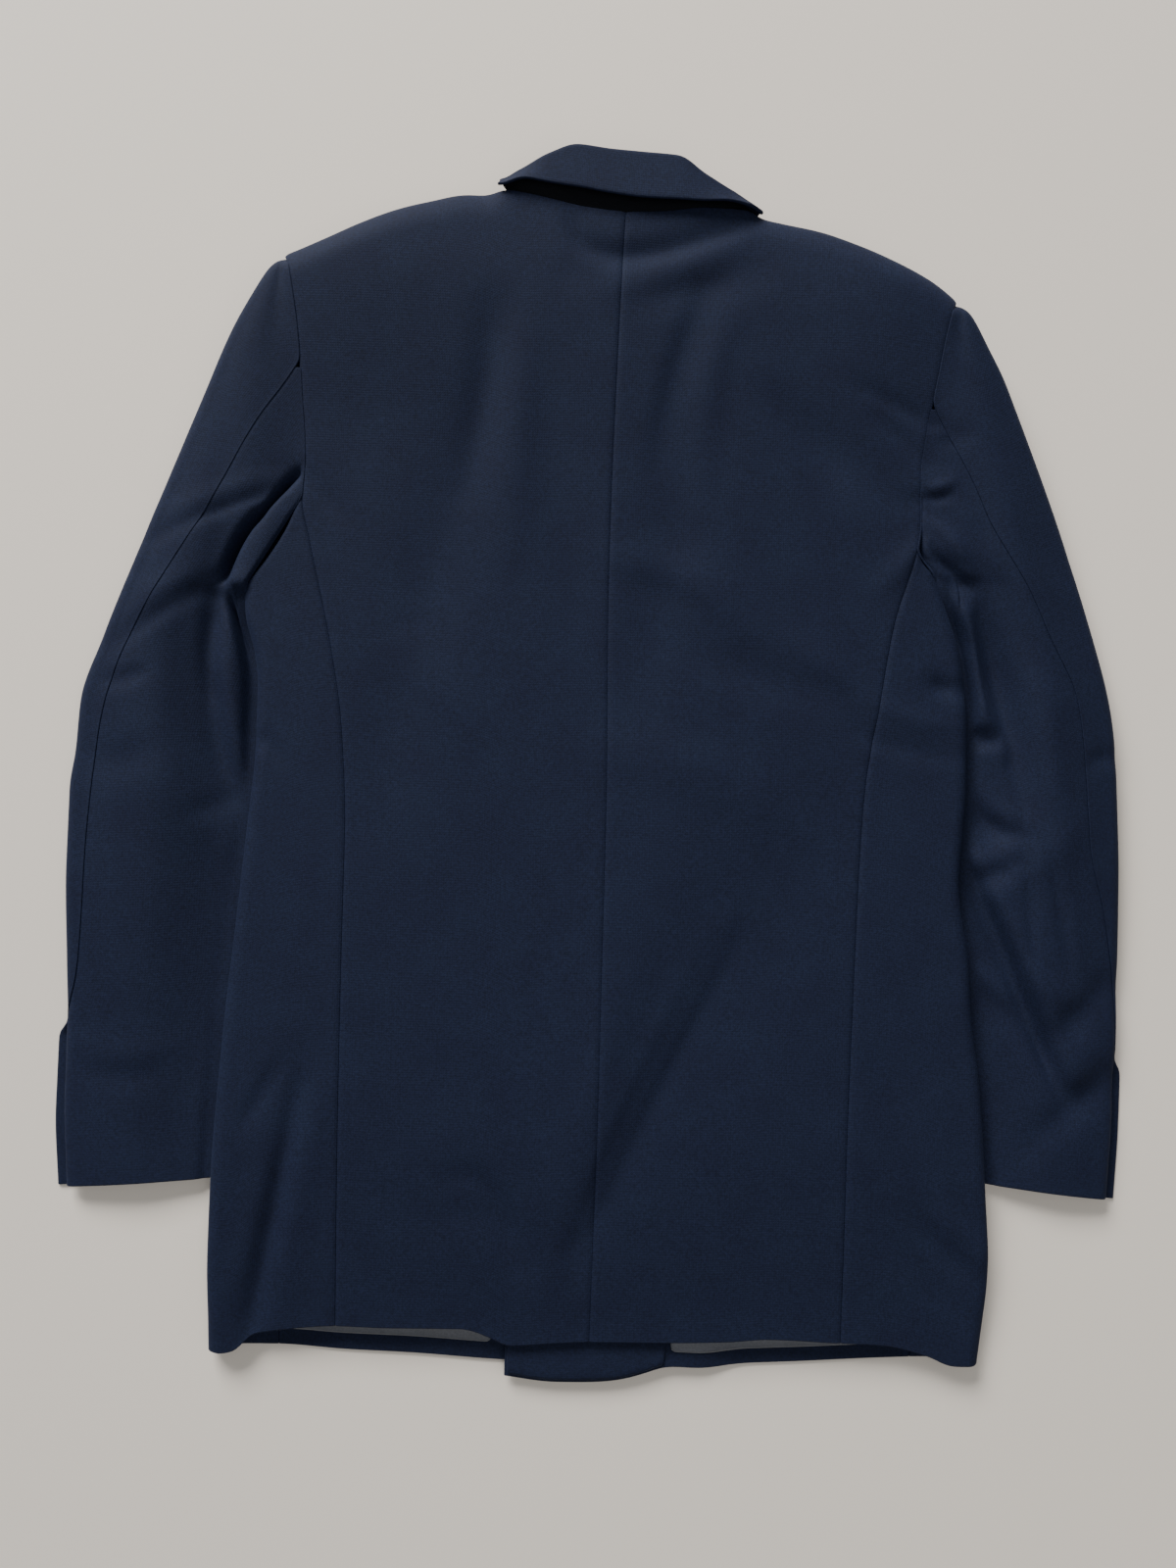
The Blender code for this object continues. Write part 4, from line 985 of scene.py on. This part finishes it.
def horn():
    """Polished dark horn, turned: near black, with faint brown streaks under a soft gloss."""
    material, tree, shader, place = new_finish("polished_dark_horn", {"Roughness": 0.28, "IOR": 1.54})
    streak = node(tree, "ShaderNodeTexNoise", {"Vector": (place, "Object")},
                  values={"Scale": 90, "Detail": 4, "Distortion": 1.5})
    colour = ramp(tree, streak, "Fac", ((0.35, linear("#121316")), (0.75, linear("#2b2622"))))
    tree.links.new(colour.outputs["Color"], shader.inputs["Base Color"])
    return material


def pale_floor():
    """Matt floor in the pale tone of the laminate."""
    return new_finish("pale_floor", {"Base Color": linear("#d6cdc1"), "Roughness": 0.8})[0]


def button(number, x, y, finish):
    """Turned button with a rim and a dished middle, sewn on flat."""
    bm = bmesh.new()
    bmesh.ops.create_circle(bm, cap_ends=True, segments=40, radius=BUTTON_WIDTH / 2)
    face = bm.faces[:]
    for inset, rise in BUTTON_STEPS:
        if inset:
            bmesh.ops.inset_region(bm, faces=face, thickness=inset, depth=0)
        grown = bmesh.ops.extrude_face_region(bm, geom=face)
        face = [part for part in grown["geom"] if isinstance(part, bmesh.types.BMFace)]
        corners = [part for part in grown["geom"] if isinstance(part, bmesh.types.BMVert)]
        bmesh.ops.translate(bm, verts=corners, vec=(0, 0, rise))
    bmesh.ops.recalc_face_normals(bm, faces=bm.faces)
    for part in bm.faces:
        part.smooth = True
    bmesh.ops.scale(bm, verts=bm.verts, vec=(MM, MM, MM))
    bmesh.ops.translate(bm, verts=bm.verts, vec=((x - BOX_X) * MM, (y - BOX_Y) * MM, 0.1 * MM))
    piece = built("turned_button_%d" % number, bm, finish)
    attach(piece, "root")
    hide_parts("button_%d" % number)


# Layers on the inside of the fronts: side, the part of the front's width and of its length that each
# one covers, how far it lies above its front, and its thickness
INSIDE_LAYERS = (
    ("lining_left", -1, 0, 0.53, 0.0145, 0.66, LINING_RISE, LINING_CLOTH),
    ("lining_right", 1, 0, 0.6, 0.013, 0.66, LINING_RISE, LINING_CLOTH),
    ("facing_right", 1, 0.61, 0.995, 0.002, 0.66, FACING_RISE, FACING_CLOTH),
)

# What each piece of cloth lies on, mostly on its own side
LIES_ON = {"back": "lining", "side_panel": "front", "upper_sleeve": "under_sleeve",
           "under_sleeve": "upper_sleeve", "lining": "front", "facing": "front", "lapel": "front"}
RESTS_ON = {cut + side: below + side for cut, below in LIES_ON.items() for side in ("_left", "_right")}
RESTS_ON.update(front_left="button_1", front_right="front_left", collar="back_right")


def dress():
    """Make every piece of the blazer over its CAD node."""
    wool, lining, dark_horn = worsted_wool(), satin_lining(), horn()
    words = {-1: "left", 1: "right"}
    made = {}
    cuts = (("back_", back_half, CLOTH), ("side_panel_", side_panel, CLOTH),
            ("upper_sleeve_", upper_sleeve, SLEEVE_CLOTH), ("under_sleeve_", under_sleeve, SLEEVE_CLOTH),
            ("front_", front, CLOTH))
    for side, word in words.items():
        for part, cut, thick in cuts:
            made[part + word] = (cut(side), thick, wool)
    for name, side, *parts, rise, thick in INSIDE_LAYERS:
        points = made["front_" + words[side]][0]
        finish = lining if name.startswith("lining") else wool
        made[name] = (inside_layer(side, points, *parts, rise), thick, finish)
    made["collar"] = (collar(), CLOTH, wool)
    made["lapel_left"] = (lapel(LAPEL_LEFT), CLOTH, wool)
    made["lapel_right"] = (lapel(LAPEL_RIGHT), CLOTH, wool)
    for name, (points, thick, finish) in made.items():
        piece = cloth(name + "_cloth", points, thick, finish)
        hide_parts(name)
    # The collar's underside from that column on takes the near-black felt, painted shade for the gap under
    # its fall
    collar_painted_shade_mesh = bpy.data.objects["collar_cloth"].data
    collar_painted_shade_mesh.materials.append(painted_shade_felt())
    columns = made["collar"][0].shape[1]
    for face in collar_painted_shade_mesh.polygons:
        corner = min(collar_painted_shade_mesh.loops[k].vertex_index for k in face.loop_indices)
        face.material_index = 1 if corner % columns > PAINTED_SHADE_FELT_START else 0
    for number, (x, y) in enumerate(BUTTONS, 1):
        button(number, x, y, dark_horn)


# Name, place, what it is turned to, size and power of each light
LIGHTS = (
    ("window", (-2.4, 4.7, 2.5), (0, 0, 0), (3.4, 2.0), 770),
    ("ceiling", (0.3, -0.6, 2.4), (0, 0, 0), (2.4, 2.4), 20),
)

# The camera stands where the photograph was taken from, turned about its own three axes in degrees
CAMERA_PLACE = (-0.04797, -0.04761, 0.822)
CAMERA_TURN = (-2.21, 2.48, -1.67)
CAMERA_LENS = 27.05
CAMERA_SENSOR = 36


def studio():
    """Plain pale floor, soft light from beyond the collar, and the camera high above the blazer."""
    bm = bmesh.new()
    bmesh.ops.create_grid(bm, x_segments=1, y_segments=1, size=3)
    floor = built("floor", bm, pale_floor())
    world = bpy.data.worlds.new("soft_room")
    bpy.context.scene.world = world
    world.use_nodes = True
    world.node_tree.nodes["Background"].inputs["Color"].default_value = linear("#e9edf2")
    world.node_tree.nodes["Background"].inputs["Strength"].default_value = 0.3
    for name, place, aim, size, power in LIGHTS:
        light = bpy.data.lights.new(name, "AREA")
        light.shape = "RECTANGLE"
        light.size, light.size_y = size
        light.energy = power
        thing = placed(name, light)
        thing.location = place
        thing.rotation_euler = (Vector(aim) - Vector(place)).to_track_quat("-Z", "Y").to_euler()
    camera = placed("camera", bpy.data.cameras.new("camera"))
    camera.data.lens = CAMERA_LENS
    camera.data.sensor_width = CAMERA_SENSOR
    rx, ry, rz = (math.radians(angle) for angle in CAMERA_TURN)
    turn = Matrix.Rotation(rx, 3, "X") @ Matrix.Rotation(ry, 3, "Y") @ Matrix.Rotation(rz, 3, "Z")
    camera.location = CAMERA_PLACE
    camera.rotation_euler = turn.transposed().to_euler()
    bpy.context.scene.camera = camera


dress()
studio()
